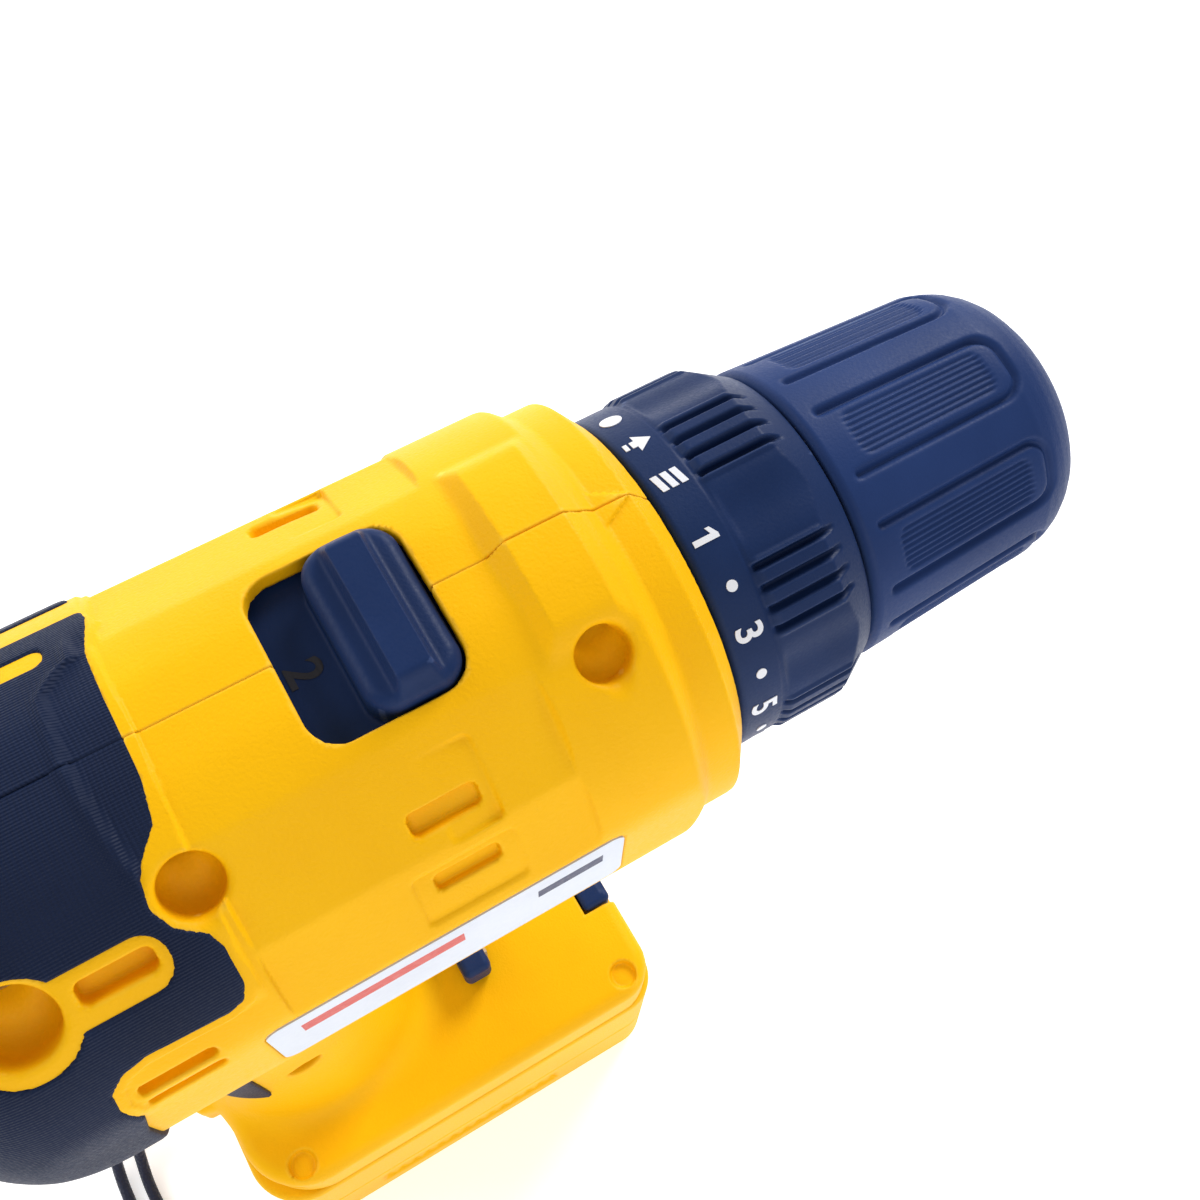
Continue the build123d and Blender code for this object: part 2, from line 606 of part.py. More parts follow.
# ---- battery -------------------------------------------------------------------------------
def pack_outline(inset, z0, z1):
    body = block(PACK_X0 + inset, PACK_X1 - inset, -PACK_Y + inset, PACK_Y - inset, z0, z1)
    return fillet(body.edges().filter_by(Axis.Z), PACK_CORNER - inset)


def battery_upper():
    hollow = pack_outline(PACK_WALL, PACK_SPLIT - 1, PACK_TOP - PACK_WALL)
    case = pack_outline(0, PACK_SPLIT, PACK_TOP) - hollow
    stem_y, rail_y = STEM_Y - GAP, RAIL_Y - GAP
    stem = block(RAIL_X0, RAIL_X1, -stem_y, stem_y, PACK_TOP - 0.1, RAIL_BASE + 0.4)
    rails = block(RAIL_X0, RAIL_X1, -rail_y, rail_y, RAIL_BASE + 0.3, RAIL_TOP - 0.5)
    case = case + stem + rails
    for y in TERMINAL_YS:
        case = case - block(RAIL_X0 - 0.4, -69, y - 1.1, y + 1.1, -127.2, -120)
    well_y = LATCH_Y + 0.3
    return case - block(LATCH_X0 - 0.6, LATCH_X1 + 0.6, -well_y, well_y, LATCH_BASE - 5, -130)


def battery_lower():
    base = -AXIS_HEIGHT
    case = pack_outline(0, base, PACK_SPLIT) - pack_outline(PACK_WALL, base + PACK_WALL, PACK_SPLIT + 1)
    long_edges = case.edges().group_by(Axis.Z)[0].filter_by(lambda e: e.length > 30)
    return fillet(long_edges, 1.5)


def battery_cells():
    low = -AXIS_HEIGHT + PACK_WALL + CELL_R + 0.6
    high = low + CELL_PITCH * sin(radians(60)) + 0.1
    places = [(n * CELL_PITCH, low) for n in (-1, 0, 1)]
    places += [(n * CELL_PITCH, high) for n in (-0.5, 0.5)]
    return Compound([rod(CELLS_X0, CELLS_X0 + CELL_LENGTH, CELL_R, y, z) for y, z in places])


def battery_contacts():
    clips = []
    for y in TERMINAL_YS:
        for middle in (y - 0.6, y + 0.6):
            clips.append(block(-77, -70, middle - 0.1, middle + 0.1, -127.2, -123))
    return Compound(clips)


def latch_button():
    pad = block(LATCH_X0, LATCH_X1, -LATCH_Y, LATCH_Y, LATCH_STEP, LATCH_TOP)
    pad = fillet(pad.edges().filter_by(Axis.Z), 1.2)
    inner_y = LATCH_Y - 0.4
    return pad + block(LATCH_X0 + 0.6, LATCH_X1 - 0.6, -inner_y, inner_y, LATCH_BASE, LATCH_STEP + 0.1)


def latch_springs():
    return Compound([Pos(-9.2, y, -139.6) * (Cylinder(1.8, 4.8) - Cylinder(1.2, 6)) for y in (-6, 6)])


# ---- wrist strap ---------------------------------------------------------------------------
def corner_radii(points):
    """Each bend is as large as its two runs allow."""
    radii = []
    for before, here, after in zip(points, points[1:], points[2:]):
        run_in, run_out = Vector(*here) - Vector(*before), Vector(*after) - Vector(*here)
        shorter = min(run_in.length, run_out.length)
        radii.append(0.45 * shorter / tan(radians(run_in.get_angle(run_out)) / 2))
    return radii


def wrist_strap():
    radii = corner_radii(STRAP_ROUTE)
    path = FilletPolyline(*STRAP_ROUTE, radius=radii)
    start = Plane(origin=STRAP_ROUTE[0], z_dir=Vector(*STRAP_ROUTE[1]) - Vector(*STRAP_ROUTE[0]))
    strap = sweep(start * Circle(STRAP_D / 2), path=path)
    print("strap length %.0f mm, smallest bend %.1f mm" % (path.length, min(radii)),
          "volume ratio %.4f" % (strap.volume / (pi * STRAP_D ** 2 / 4 * path.length)))
    return strap


def main():
    shell, outside = housing()
    right, left = halves(shell)
    write("housing_right", right)
    write("housing_left", left)
    skin_right, skin_left = halves(grip_rubber(outside))
    write("grip_rubber_right", skin_right)
    write("grip_rubber_left", skin_left)
    write("label_right", label())
    write("label_left", mirror(label(), about=Plane.XZ))
    write("housing_screws", housing_screws())
    write("speed_selector", speed_selector())

    write("gearbox_case", gearbox_case())
    write("gearbox_cover", gearbox_cover())
    write("fixed_ring_gear", ring_gear(-42.6, -34.8, CASE_IN_R))
    write("shift_ring_gear", shift_ring())
    write("shift_fork", shift_fork())
    for k in range(3):
        write(f"planet_first_{k + 1}", planet(STAGE_1, k))
        write(f"planet_second_{k + 1}", planet(STAGE_2, k))
    write("first_carrier", first_carrier())
    write("output_carrier", output_carrier())
    write("spindle", spindle())
    spots = (-15.8, 12.0)
    write("spindle_bearings", Compound([bearing(x, x + 5, BEARING_R, SPINDLE_R + FIT) for x in spots]))
    write("clutch_washer", clutch_washer())
    write("clutch_spring", coil_spring(0.6, 8.8, 15.6, 1.1, 3))
    write("clutch_nut", clutch_nut())
    write("collar_clip", collar_clip())
    write("torque_collar", torque_collar())

    write("chuck_body", chuck_body())
    write("chuck_screw", chuck_screw())
    write("chuck_nut", chuck_nut())
    write("chuck_sleeve", chuck_sleeve())
    write("chuck_rear_ring", chuck_rear_ring())
    for k, one in enumerate(around(jaw(), 3)):
        write(f"chuck_jaw_{k + 1}", one)

    write("motor_can", motor_can())
    write("motor_magnets", motor_magnets())
    write("motor_armature", armature())
    write("motor_windings", windings())
    write("motor_commutator", commutator())
    write("motor_shaft", motor_shaft())
    write("motor_pinion", motor_pinion())
    write("motor_brushes", brushes())
    write("motor_end_cap", motor_end_cap())
    write("motor_bearings", Compound([tube(CAN_X1 - 2.5, CAN_X1, 5.0, SHAFT_R + FIT),
                                      tube(-101, -98, 3.8, SHAFT_R + FIT)]))

    write("trigger", trigger())
    write("trigger_spring", Pos(0, 0, -52) * coil_spring(-64.4, -58.2, 3.0, 0.4, 4))
    write("switch_module", switch_module())
    write("direction_lever", direction_lever())
    write("light_housing", light_housing())
    write("light_lens", light_lens())
    write("terminal_block", terminal_block())

    write("battery_upper", battery_upper())
    write("battery_lower", battery_lower())
    write("battery_cells", battery_cells())
    write("battery_contacts", battery_contacts())
    write("latch_button", latch_button())
    write("latch_springs", latch_springs())
    write("wrist_strap", wrist_strap())


main()
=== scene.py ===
"""Visual model of the cordless drill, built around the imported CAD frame.

Shapes are written in the drill frame, in millimetres: X runs along the chuck axis towards the chuck,
X = 0 is the housing's front face, Z = 0 is the chuck axis and Y = 0 is the seam of the two halves.
Moulded pieces are signed distance fields that are meshed on a grid and then moved exactly onto the
surface. The collar and the chuck sleeve are turned surfaces whose radius varies with angle.
"""
import json
import math

import bpy
import numpy as np
from mathutils import Euler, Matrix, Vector


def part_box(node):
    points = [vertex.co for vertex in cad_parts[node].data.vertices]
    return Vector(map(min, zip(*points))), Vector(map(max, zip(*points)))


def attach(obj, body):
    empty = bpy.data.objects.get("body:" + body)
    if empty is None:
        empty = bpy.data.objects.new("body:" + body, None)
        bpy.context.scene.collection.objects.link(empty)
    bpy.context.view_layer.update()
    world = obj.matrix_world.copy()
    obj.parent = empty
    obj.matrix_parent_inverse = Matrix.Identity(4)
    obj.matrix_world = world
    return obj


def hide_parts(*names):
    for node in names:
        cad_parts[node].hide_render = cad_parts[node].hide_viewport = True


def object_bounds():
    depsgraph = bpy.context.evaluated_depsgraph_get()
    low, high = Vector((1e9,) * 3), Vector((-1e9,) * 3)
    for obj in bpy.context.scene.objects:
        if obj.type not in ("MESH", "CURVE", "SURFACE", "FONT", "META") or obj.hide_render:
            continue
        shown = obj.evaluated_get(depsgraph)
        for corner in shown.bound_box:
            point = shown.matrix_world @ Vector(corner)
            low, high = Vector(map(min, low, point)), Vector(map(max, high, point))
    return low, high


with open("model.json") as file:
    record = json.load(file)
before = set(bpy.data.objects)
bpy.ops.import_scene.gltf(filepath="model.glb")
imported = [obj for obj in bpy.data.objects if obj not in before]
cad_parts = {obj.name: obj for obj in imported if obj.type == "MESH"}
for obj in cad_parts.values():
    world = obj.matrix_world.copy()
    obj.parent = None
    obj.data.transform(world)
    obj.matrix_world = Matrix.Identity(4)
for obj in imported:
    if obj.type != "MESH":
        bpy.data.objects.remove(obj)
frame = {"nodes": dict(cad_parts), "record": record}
CAD_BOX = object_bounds()

# ---- drill frame ---------------------------------------------------------------------------
MM = 0.001
COLLAR_X0, COLLAR_X1 = 0.8, 22.6
RING_LOW, RING_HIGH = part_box("chuck_rear_ring")
ORIGIN = np.array([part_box("torque_collar")[0].x - COLLAR_X0 * MM, 0.0, (RING_LOW.z + RING_HIGH.z) / 2])
FINE = 1.0

BARREL_R, BARREL_TOP, SIDE_Y, BARREL_IN_R = 31.0, 30.7, 29.8, 28.4
TAIL_X, TAIL_ROUND = -105.0, 18.0
FLANGE_R, FLANGE_FACE_R, FLANGE_CHAMFER = 29.0, 25.5, 2.7
NOSE_OPENING_R = 23.6
WALL, GAP = 2.6, 0.4
PAD_WAY, PAD_RUN = 11.5, 3.0            # half width of the pad's top, and how far its sides slope out
PAD_TOP_R, PAD_EASE = 32.7, 0.5         # radius of the pad's top, and rounding added outside its profile
PAD_PROFILE = [(-22.0, 29.8), (-19.12, 32.2), (-11.79, 32.2), (-7.8, 28.77), (-7.8, 20), (-22.0, 20)]
CAVITY = [(-101.4, -1), (-101.4, 18), (-90, BARREL_IN_R), (-11, BARREL_IN_R), (-11, 25.8), (-6.5, 25.8),
          (-6.5, -1)]
# handle: height, X of its middle, half length and half width
HANDLE = [(-20.0, -76.0, 24.0, 20.0), (-42.0, -75.0, 20.5, 18.0), (-70.0, -73.5, 19.0, 17.0),
          (-98.0, -72.0, 19.5, 16.5), (-121.0, -69.0, 25.0, 20.0)]
FOOT_X0, FOOT_X1, FOOT_Y, FOOT_TOP, FOOT_BASE = -92.0, -5.7, 30.0, -118.0, -132.0
LUG_X, LUG_Y = -97.0, 7.0
FOOT_ROUND_REAR, FOOT_ROUND_FRONT, FOOT_ROUND_TOP = 13.0, 8.0, 3.0
FOOT_SCREWS_X, FOOT_SCREW_Y = (-83.0, -12.0), 25.4
FOOT_WELL_R, FOOT_WELL_DEEP = 2.6, 1.4
CHANNEL_X0, RAIL_Y, STEM_Y, RAIL_TOP, RAIL_BASE = -84.0, 24.0, 20.0, -121.0, -128.0
SLOT_X0, SLOT_X1, SLOT_Y, SLOT_ROUND = -47.6, -28.6, 11.2, 4.0
PLATE_Z0, PLATE_Z1, PLATE_Y = 23.2, 25.2, 12.0
LATCH_X0, LATCH_Y = -12.2, 10.8
TRIGGER_Z0, TRIGGER_Z1, TRIGGER_Y = -66.0, -38.5, 8.0
LEVER_X0, LEVER_X1, LEVER_Z0, LEVER_Z1 = -73.0, -66.0, -36.6, -31.4
LABEL_X0, LABEL_X1, LABEL_Z, LABEL_DEEP = -67.0, -20.0, 8.0, 0.5
PACK_X0, PACK_X1, PACK_Y, PACK_TOP, PACK_SPLIT, PACK_BASE = -94.0, -4.5, 30.4, -132.4, -155.0, -178.0
PACK_WALL, PACK_CORNER = 2.0, 8.0

# screws from the right side: X, Z, Y of the head's seat and radius of the hole in the surface
SCREWS = [(-14.6, 25.6, 8.0, 2.9), (-65.1, 25.4, 7.0, 3.4), (-86.5, 22.0, 12.0, 4.2),
          (-26.0, -25.8, 12.0, 2.9), (-72.0, -84.0, 11.0, 2.9), (-88.0, -125.0, 20.0, 2.6)]
SCREW_BORE_R, PILOT_R = 2.5, 1.4
# bowls in the shoulder that three of them are reached through: X, way round, radius, bottom from the axis
BOWLS = ((-15.0, 16.0, 3.4, 27.0), (-65.1, 17.3, 3.6, 26.0), (-86.5, 21.8, 4.7, 25.5))
# areas with a thicker wall, so that the slots in them are blind: X from and to, way round from and to
THICK_AREAS = ((-44, -33, 20.6, 35), (-81.5, -70.3, 35.5, 43), (-81, -70, 19, 25))
BOWL_ROUND = 2.2
BOSS_WALL, POST_R = 1.5, 3.4

# edge of the rubber, in X and in the way round from the top down the side: the halves share its lower part
RUBBER_TOP = [(-115, -4), (-64.2, -4)]
RUBBER_LOW = [(-66, 32), (-68, 32.6), (-77.4, 32.2), (-80.3, 33), (-82.2, 34.8), (-82.6, 38), (-81.6, 43),
              (-83, 50), (-83, 66), (-79, 88), (-80, 144.7), (-115, 144.7)]
RUBBER_RIGHT = RUBBER_TOP + [(-64.2, 5), (-64.8, 8), (-65.2, 9.9), (-67.6, 12.4), (-69, 14.2), (-69.5, 17.3),
                             (-68.4, 20), (-65.6, 22.4), (-64.9, 24.5), (-65, 29.8)] + RUBBER_LOW
RUBBER_LEFT = RUBBER_TOP + [(-64.2, 12.2), (-63.1, 19), (-64.9, 29.8)] + RUBBER_LOW
SIDE_WAY = BARREL_R * math.pi / 2      # way round from the top to the height of the axis
RUBBER_THICK, RUBBER_SUNK = 0.75, 0.5
LIP_WIDE, LIP_HIGH = 1.1, 0.45
# front edge of the raised lip in front of the rubber: way round, X
LIP_EDGE = ((0, -63.1), (5, -63.3), (13.6, -63.7), (15, -63.2), (18.8, -62.2), (21.1, -63.8), (26, -64.0),
            (32, -63.7))
# ridge across the top of the rubber: way round, negative on the left side, and X
RIDGE = ((-12.2, -66.3), (-11.4, -68.1), (-8.9, -70.6), (-1.2, -71.3), (4.7, -70.9), (11.8, -70.0),
         (14.3, -69.2))


# ---- distance fields -----------------------------------------------------------------------
def soft_min(a, b, k):
    h = np.clip(0.5 + 0.5 * (b - a) / k, 0, 1)
    return b + (a - b) * h - k * h * (1 - h)


def soft_max(a, b, k):
    return -soft_min(-a, -b, k)


def ease(t, start, end):
    t = np.clip((t - start) / (end - start), 0, 1)
    return t * t * (3 - 2 * t)


def rounded(u, v, r):
    """Two distances joined as the outside corner of an edge with radius r."""
    u, v = u + r, v + r
    return np.hypot(np.maximum(u, 0), np.maximum(v, 0)) + np.minimum(np.maximum(u, v), 0) - r


def panel(u, v, u0, u1, v0, v1, r):
    """Flat rectangle with rounded corners."""
    return rounded(np.abs(u - (u0 + u1) / 2) - (u1 - u0) / 2, np.abs(v - (v0 + v1) / 2) - (v1 - v0) / 2, r)


def block(x, y, z, x0, x1, y0, y1, z0, z1, r=0.01):
    return rounded(panel(x, y, x0, x1, y0, y1, r), np.abs(z - (z0 + z1) / 2) - (z1 - z0) / 2, r)


def outline(u, v, points):
    """Distance to a closed outline, negative inside."""
    best = np.full(u.shape, 1e9, u.dtype)
    inside = np.zeros(u.shape, bool)
    for (u0, v0), (u1, v1) in zip(points, points[1:] + points[:1]):
        du, dv = u1 - u0, v1 - v0
        t = np.clip(((u - u0) * du + (v - v0) * dv) / (du * du + dv * dv), 0, 1)
        best = np.minimum(best, (u - u0 - du * t) ** 2 + (v - v0 - dv * t) ** 2)
        if dv:
            inside ^= ((v0 <= v) != (v1 <= v)) & (u < u0 + (v - v0) * du / dv)
    return np.where(inside, -1, 1) * np.sqrt(best)


def way_round(y, z):
    """Way from the top, over the side and straight down the handle."""
    over = BARREL_R * np.arctan2(np.abs(y), z)
    return np.where(z > 0, over, SIDE_WAY - z)


# ---- meshing -------------------------------------------------------------------------------
def sample(field, xs, ys, zs, step=4):
    """Field on a grid of planes, worked out in full only near the surface."""
    axes = [np.asarray(a, np.float32) for a in (xs, ys, zs)]
    middles, halves = [], []
    for a in axes:
        starts = np.arange(0, len(a), step)
        ends = np.minimum(starts + step - 1, len(a) - 1)
        middles.append((a[starts] + a[ends]) / 2)
        halves.append((a[ends] - a[starts]) / 2)
    grid = np.meshgrid(*middles, indexing="ij")
    reach = np.sqrt(sum(h * h for h in np.meshgrid(*halves, indexing="ij")))
    coarse = field(*grid).astype(np.float32)
    near = np.abs(coarse) < 1.6 * reach + 1.2
    values, wanted = coarse, near
    for axis in range(3):
        values = np.repeat(values, step, axis)
        wanted = np.repeat(wanted, step, axis)
    cut = tuple(slice(0, len(a)) for a in axes)
    values, wanted = values[cut].copy(), wanted[cut]
    i, j, k = np.nonzero(wanted)
    chunk = 500000
    for s in range(0, len(i), chunk):
        p = slice(s, s + chunk)
        values[i[p], j[p], k[p]] = field(axes[0][i[p]], axes[1][j[p]], axes[2][k[p]])
    return values, axes


def surface_net(values, axes):
    """One vertex in every cell that the surface passes, joined by quads."""
    inside = values < 0
    size = np.array(values.shape)
    corners = np.zeros(size - 1, np.int8)
    for a in (0, 1):
        for b in (0, 1):
            for c in (0, 1):
                corners += inside[a:size[0] - 1 + a, b:size[1] - 1 + b, c:size[2] - 1 + c]
    active = (corners > 0) & (corners < 8)
    index = np.full(active.shape, -1, np.int32)
    cells = np.array(np.nonzero(active))
    index[active] = np.arange(cells.shape[1])
    total, hits = np.zeros((cells.shape[1], 3)), np.zeros(cells.shape[1])
    for axis in range(3):
        others = [n for n in range(3) if n != axis]
        for a in (0, 1):
            for b in (0, 1):
                p = cells.copy()
                p[others[0]] += a
                p[others[1]] += b
                q = p.copy()
                q[axis] += 1
                v0, v1 = values[tuple(p)], values[tuple(q)]
                cross = (v0 < 0) != (v1 < 0)
                t = np.where(cross, v0 / np.where(cross, v0 - v1, 1), 0)
                place = np.stack([axes[n][p[n]] for n in range(3)], 1).astype(float)
                place[:, axis] += t * (axes[axis][q[axis]] - axes[axis][p[axis]])
                total += place * cross[:, None]
                hits += cross
    quads = []
    for axis in range(3):
        b, c = (axis + 1) % 3, (axis + 2) % 3
        low, high = [slice(None)] * 3, [slice(None)] * 3
        low[axis], high[axis] = slice(None, -1), slice(1, None)
        first = inside[tuple(low)]
        where = np.array(np.nonzero(first != inside[tuple(high)]))
        keep = (where[b] > 0) & (where[b] < size[b] - 1) & (where[c] > 0) & (where[c] < size[c] - 1)
        where = where[:, keep]
        quad = []
        for ob, oc in ((-1, -1), (0, -1), (0, 0), (-1, 0)):
            cell = where.copy()
            cell[b] += ob
            cell[c] += oc
            quad.append(index[tuple(cell)])
        quad = np.stack(quad, 1)
        turn = ~first[tuple(where)]
        quad[turn] = quad[turn][:, ::-1]
        quads.append(quad)
    return total / hits[:, None], np.concatenate(quads)


TETRA = ((1, -1, -1), (-1, -1, 1), (-1, 1, -1), (1, 1, 1))


def gradient(field, p, e=0.05):
    g = np.zeros_like(p)
    for k in TETRA:
        k = np.array(k, float)
        q = p + e * k
        g += field(q[:, 0], q[:, 1], q[:, 2])[:, None] * k
    return g / (4 * e)


def make_object(name, verts, quads, normals=None):
    mesh = bpy.data.meshes.new(name)
    mesh.vertices.add(len(verts))
    mesh.vertices.foreach_set("co", (verts * MM + ORIGIN).astype(np.float32).ravel())
    mesh.loops.add(quads.size)
    mesh.loops.foreach_set("vertex_index", quads.astype(np.int32).ravel())
    mesh.polygons.add(len(quads))
    mesh.polygons.foreach_set("loop_start", np.arange(0, quads.size, 4, dtype=np.int32))
    mesh.update(calc_edges=True)
    mesh.polygons.foreach_set("use_smooth", np.ones(len(quads), bool))
    if normals is not None:
        mesh.normals_split_custom_set_from_vertices(normals.tolist())
    obj = bpy.data.objects.new(name, mesh)
    bpy.context.scene.collection.objects.link(obj)
    return obj


def moulded_piece(name, field, xs, ys, zs):
    verts, quads = surface_net(*sample(field, xs, ys, zs))
    for _ in range(2):
        g = gradient(field, verts)
        d = field(verts[:, 0], verts[:, 1], verts[:, 2])
        move = d[:, None] * g / np.maximum((g * g).sum(1), 0.2)[:, None]
        length = np.maximum(np.linalg.norm(move, axis=1), 1e-9)
        verts = verts - move * np.minimum(1, 0.35 / length)[:, None]
    g = gradient(field, verts)
    g /= np.maximum(np.linalg.norm(g, axis=1), 1e-9)[:, None]
    return make_object(name, verts, quads, g)


def planes(*stretches):
    """Grid planes from stretches of (start, end, step)."""
    marks = []
    for start, end, step in stretches:
        marks.append(np.arange(start, end, step * FINE))
    return np.concatenate(marks + [[stretches[-1][1]]])


def turned_piece(name, stations, radius, count=720):
    """Closed ring of stations (x, fixed radius or None): where it is None, radius(x, degrees) gives it."""
    degrees = np.arange(count) * 360 / count
    rings = []
    for x, r in stations:
        r = radius(x, degrees) if r is None else np.full(count, float(r))
        a = np.radians(degrees)
        rings.append(np.stack([np.full(count, float(x)), -r * np.sin(a), r * np.cos(a)], 1))
    rows = len(stations)
    i, j = np.meshgrid(np.arange(rows), np.arange(count), indexing="ij")
    i2, j2 = (i + 1) % rows, (j + 1) % count
    quads = np.stack([i * count + j, i * count + j2, i2 * count + j2, i2 * count + j], -1).reshape(-1, 4)
    verts = np.concatenate(rings)
    a, b, c = verts[quads[:, 0]], verts[quads[:, 1]], verts[quads[:, 2]]
    if (a * np.cross(b, c)).sum() < 0:
        quads = quads[:, ::-1]
    return make_object(name, verts, quads)


# ---- materials -----------------------------------------------------------------------------
def noise(nodes, links, place, scale, detail=3.0):
    n = nodes.new("ShaderNodeTexNoise")
    n.inputs["Scale"].default_value = scale
    n.inputs["Detail"].default_value = detail
    links.new(place, n.inputs["Vector"])
    return n.outputs["Fac"]


def ramp(nodes, links, fac, low, high, first, second):
    r = nodes.new("ShaderNodeMapRange")
    r.inputs["From Min"].default_value, r.inputs["From Max"].default_value = low, high
    r.inputs["To Min"].default_value, r.inputs["To Max"].default_value = first, second
    links.new(fac, r.inputs["Value"])
    return r.outputs["Result"]


def mixed(nodes, links, fac, first, second):
    m = nodes.new("ShaderNodeMix")
    m.data_type = "RGBA"
    links.new(fac, m.inputs["Factor"])
    for socket, value in ((m.inputs["A"], first), (m.inputs["B"], second)):
        if isinstance(value, tuple):
            socket.default_value = (*value, 1)
        else:
            links.new(value, socket)
    return m.outputs["Result"]


def bumped(nodes, links, height, depth, under=None):
    b = nodes.new("ShaderNodeBump")
    b.inputs["Distance"].default_value = depth
    links.new(height, b.inputs["Height"])
    if under is not None:
        links.new(under, b.inputs["Normal"])
    return b.outputs["Normal"]


METAL_SPECULAR, PLASTIC_SPECULAR = 0.5, 0.10


def finish_material(name, dark, light, edge, rough, grain, depth, metal=0.0, pattern=None, stretch=None,
                    sheen=0.0, edge_highlight_strength=0.6):
    """Moulded or machined surface: broad colour variation, fine grain, a painted highlight on sharp edges and
    uneven gloss.
    """
    m = bpy.data.materials.new(name)
    m.use_nodes = True
    nodes, links = m.node_tree.nodes, m.node_tree.links
    bsdf = nodes["Principled BSDF"]
    bsdf.inputs["Metallic"].default_value = metal
    bsdf.inputs["Sheen Weight"].default_value = sheen
    bsdf.inputs["Specular IOR Level"].default_value = METAL_SPECULAR if metal else PLASTIC_SPECULAR
    place = nodes.new("ShaderNodeTexCoord").outputs["Object"]
    if stretch:
        mapping = nodes.new("ShaderNodeMapping")
        mapping.inputs["Scale"].default_value = stretch
        links.new(place, mapping.inputs["Vector"])
        fine_place = mapping.outputs["Vector"]
    else:
        fine_place = place
    broad = noise(nodes, links, place, 45, 4)
    fine = noise(nodes, links, fine_place, grain, 2)
    colour = mixed(nodes, links, ramp(nodes, links, broad, 0.3, 0.7, 0, 1), dark, light)
    # painted highlight: sharp convex edges (high pointiness) are mixed towards the lighter edge colour
    edge_highlight = ramp(nodes, links, nodes.new("ShaderNodeNewGeometry").outputs["Pointiness"], 0.53, 0.62, 0, edge_highlight_strength)
    colour = mixed(nodes, links, edge_highlight, colour, edge)
    links.new(colour, bsdf.inputs["Base Color"])
    links.new(ramp(nodes, links, fine, 0.3, 0.7, rough[0], rough[1]), bsdf.inputs["Roughness"])
    normal = None
    if pattern:
        cells = nodes.new("ShaderNodeTexVoronoi")
        cells.inputs["Scale"].default_value = pattern[0]
        links.new(fine_place, cells.inputs["Vector"])
        normal = bumped(nodes, links, cells.outputs["Distance"], pattern[1])
    links.new(bumped(nodes, links, fine, depth, normal), bsdf.inputs["Normal"])
    return m


# dark and light tones of each finish, then the painted highlight colour for its sharp edges
NAVY, NAVY_LIGHT, NAVY_EDGE_HIGHLIGHT = (0.008, 0.021, 0.074), (0.013, 0.031, 0.104), (0.05, 0.08, 0.19)
STEEL, STEEL_LIGHT, STEEL_EDGE_HIGHLIGHT = (0.32, 0.32, 0.34), (0.46, 0.46, 0.48), (0.7, 0.7, 0.72)
BRUSHED = (0.15, 1, 1)
# bars on the label: X from and to, Z from and to, colour
LABEL_BARS = ((-63, -42, 1.0, 4.4, (0.55, 0.06, 0.05)), (-32, -23, 1.2, 4.0, (0.02, 0.03, 0.09)))


def steel(name, dark=STEEL, light=STEEL_LIGHT, rough=(0.25, 0.45), stretch=BRUSHED):
    return finish_material(name, dark, light, STEEL_EDGE_HIGHLIGHT, rough, 2500, 0.00001, 1.0, None, stretch)


def label_material():
    """Pale film with a plain red bar and a short navy bar."""
    m = finish_material("label_film", (0.56, 0.60, 0.68), (0.64, 0.68, 0.75), (0.8, 0.82, 0.86),
                        (0.3, 0.42), 1800, 0.000002, edge_highlight_strength=0.0)
    nodes, links = m.node_tree.nodes, m.node_tree.links
    base = nodes["Principled BSDF"].inputs["Base Color"]
    colour = base.links[0].from_socket
    place = nodes.new("ShaderNodeTexCoord").outputs["Object"]
    split = nodes.new("ShaderNodeSeparateXYZ")
    links.new(place, split.inputs["Vector"])
    for x0, x1, z0, z1, paint in LABEL_BARS:
        masks = []
        for axis, start, low, high in (("X", ORIGIN[0], x0, x1), ("Z", ORIGIN[2], z0, z1)):
            near = nodes.new("ShaderNodeMath")
            near.operation = "COMPARE"
            near.inputs[1].default_value = (low + high) / 2 * MM + start
            near.inputs[2].default_value = (high - low) / 2 * MM
            links.new(split.outputs[axis], near.inputs[0])
            masks.append(near.outputs[0])
        both = nodes.new("ShaderNodeMath")
        both.operation = "MULTIPLY"
        links.new(masks[0], both.inputs[0])
        links.new(masks[1], both.inputs[1])
        colour = mixed(nodes, links, both.outputs[0], colour, paint)
    links.new(colour, base)
    return m


SCALE_LONG, SCALE_WIDE = 0.00056, 0.00038      # one scale of the rubber's texture, along and round the barrel


def scale_texture(material):
    """Fine rows of scales that follow the barrel round and the handle down, and fade low on the sides."""
    nodes, links = material.node_tree.nodes, material.node_tree.links

    def math_node(operation, first, second=None):
        n = nodes.new("ShaderNodeMath")
        n.operation = operation
        for socket, value in zip(n.inputs, (first, second)):
            if isinstance(value, (int, float)):
                socket.default_value = value
            elif value is not None:
                links.new(value, socket)
        return n.outputs[0]

    split = nodes.new("ShaderNodeSeparateXYZ")
    links.new(nodes.new("ShaderNodeTexCoord").outputs["Object"], split.inputs["Vector"])
    height = math_node("SUBTRACT", split.outputs["Z"], float(ORIGIN[2]))
    above, below = math_node("MAXIMUM", height, 0.0), math_node("MINIMUM", height, 0.0)
    out = math_node("ABSOLUTE", split.outputs["Y"])
    squares = [math_node("MULTIPLY", side, side) for side in (out, above)]
    reach = math_node("SQRT", math_node("ADD", *squares))
    along = math_node("ADD", split.outputs["X"], reach)
    way = math_node("MULTIPLY", math_node("ARCTAN2", out, above), BARREL_R * MM)
    way = math_node("SUBTRACT", way, below)
    rows = [math_node("COSINE", math_node("MULTIPLY", place, 2 * math.pi / size))
            for place, size in ((along, SCALE_LONG), (way, SCALE_WIDE))]
    relief = math_node("MULTIPLY", math_node("ADD", *rows), ramp(nodes, links, way, 0.024, 0.036, 1.0, 0.35))
    grain = [n for n in nodes if n.type == "BUMP"][0]
    links.new(bumped(nodes, links, relief, 0.00003), grain.inputs["Normal"])


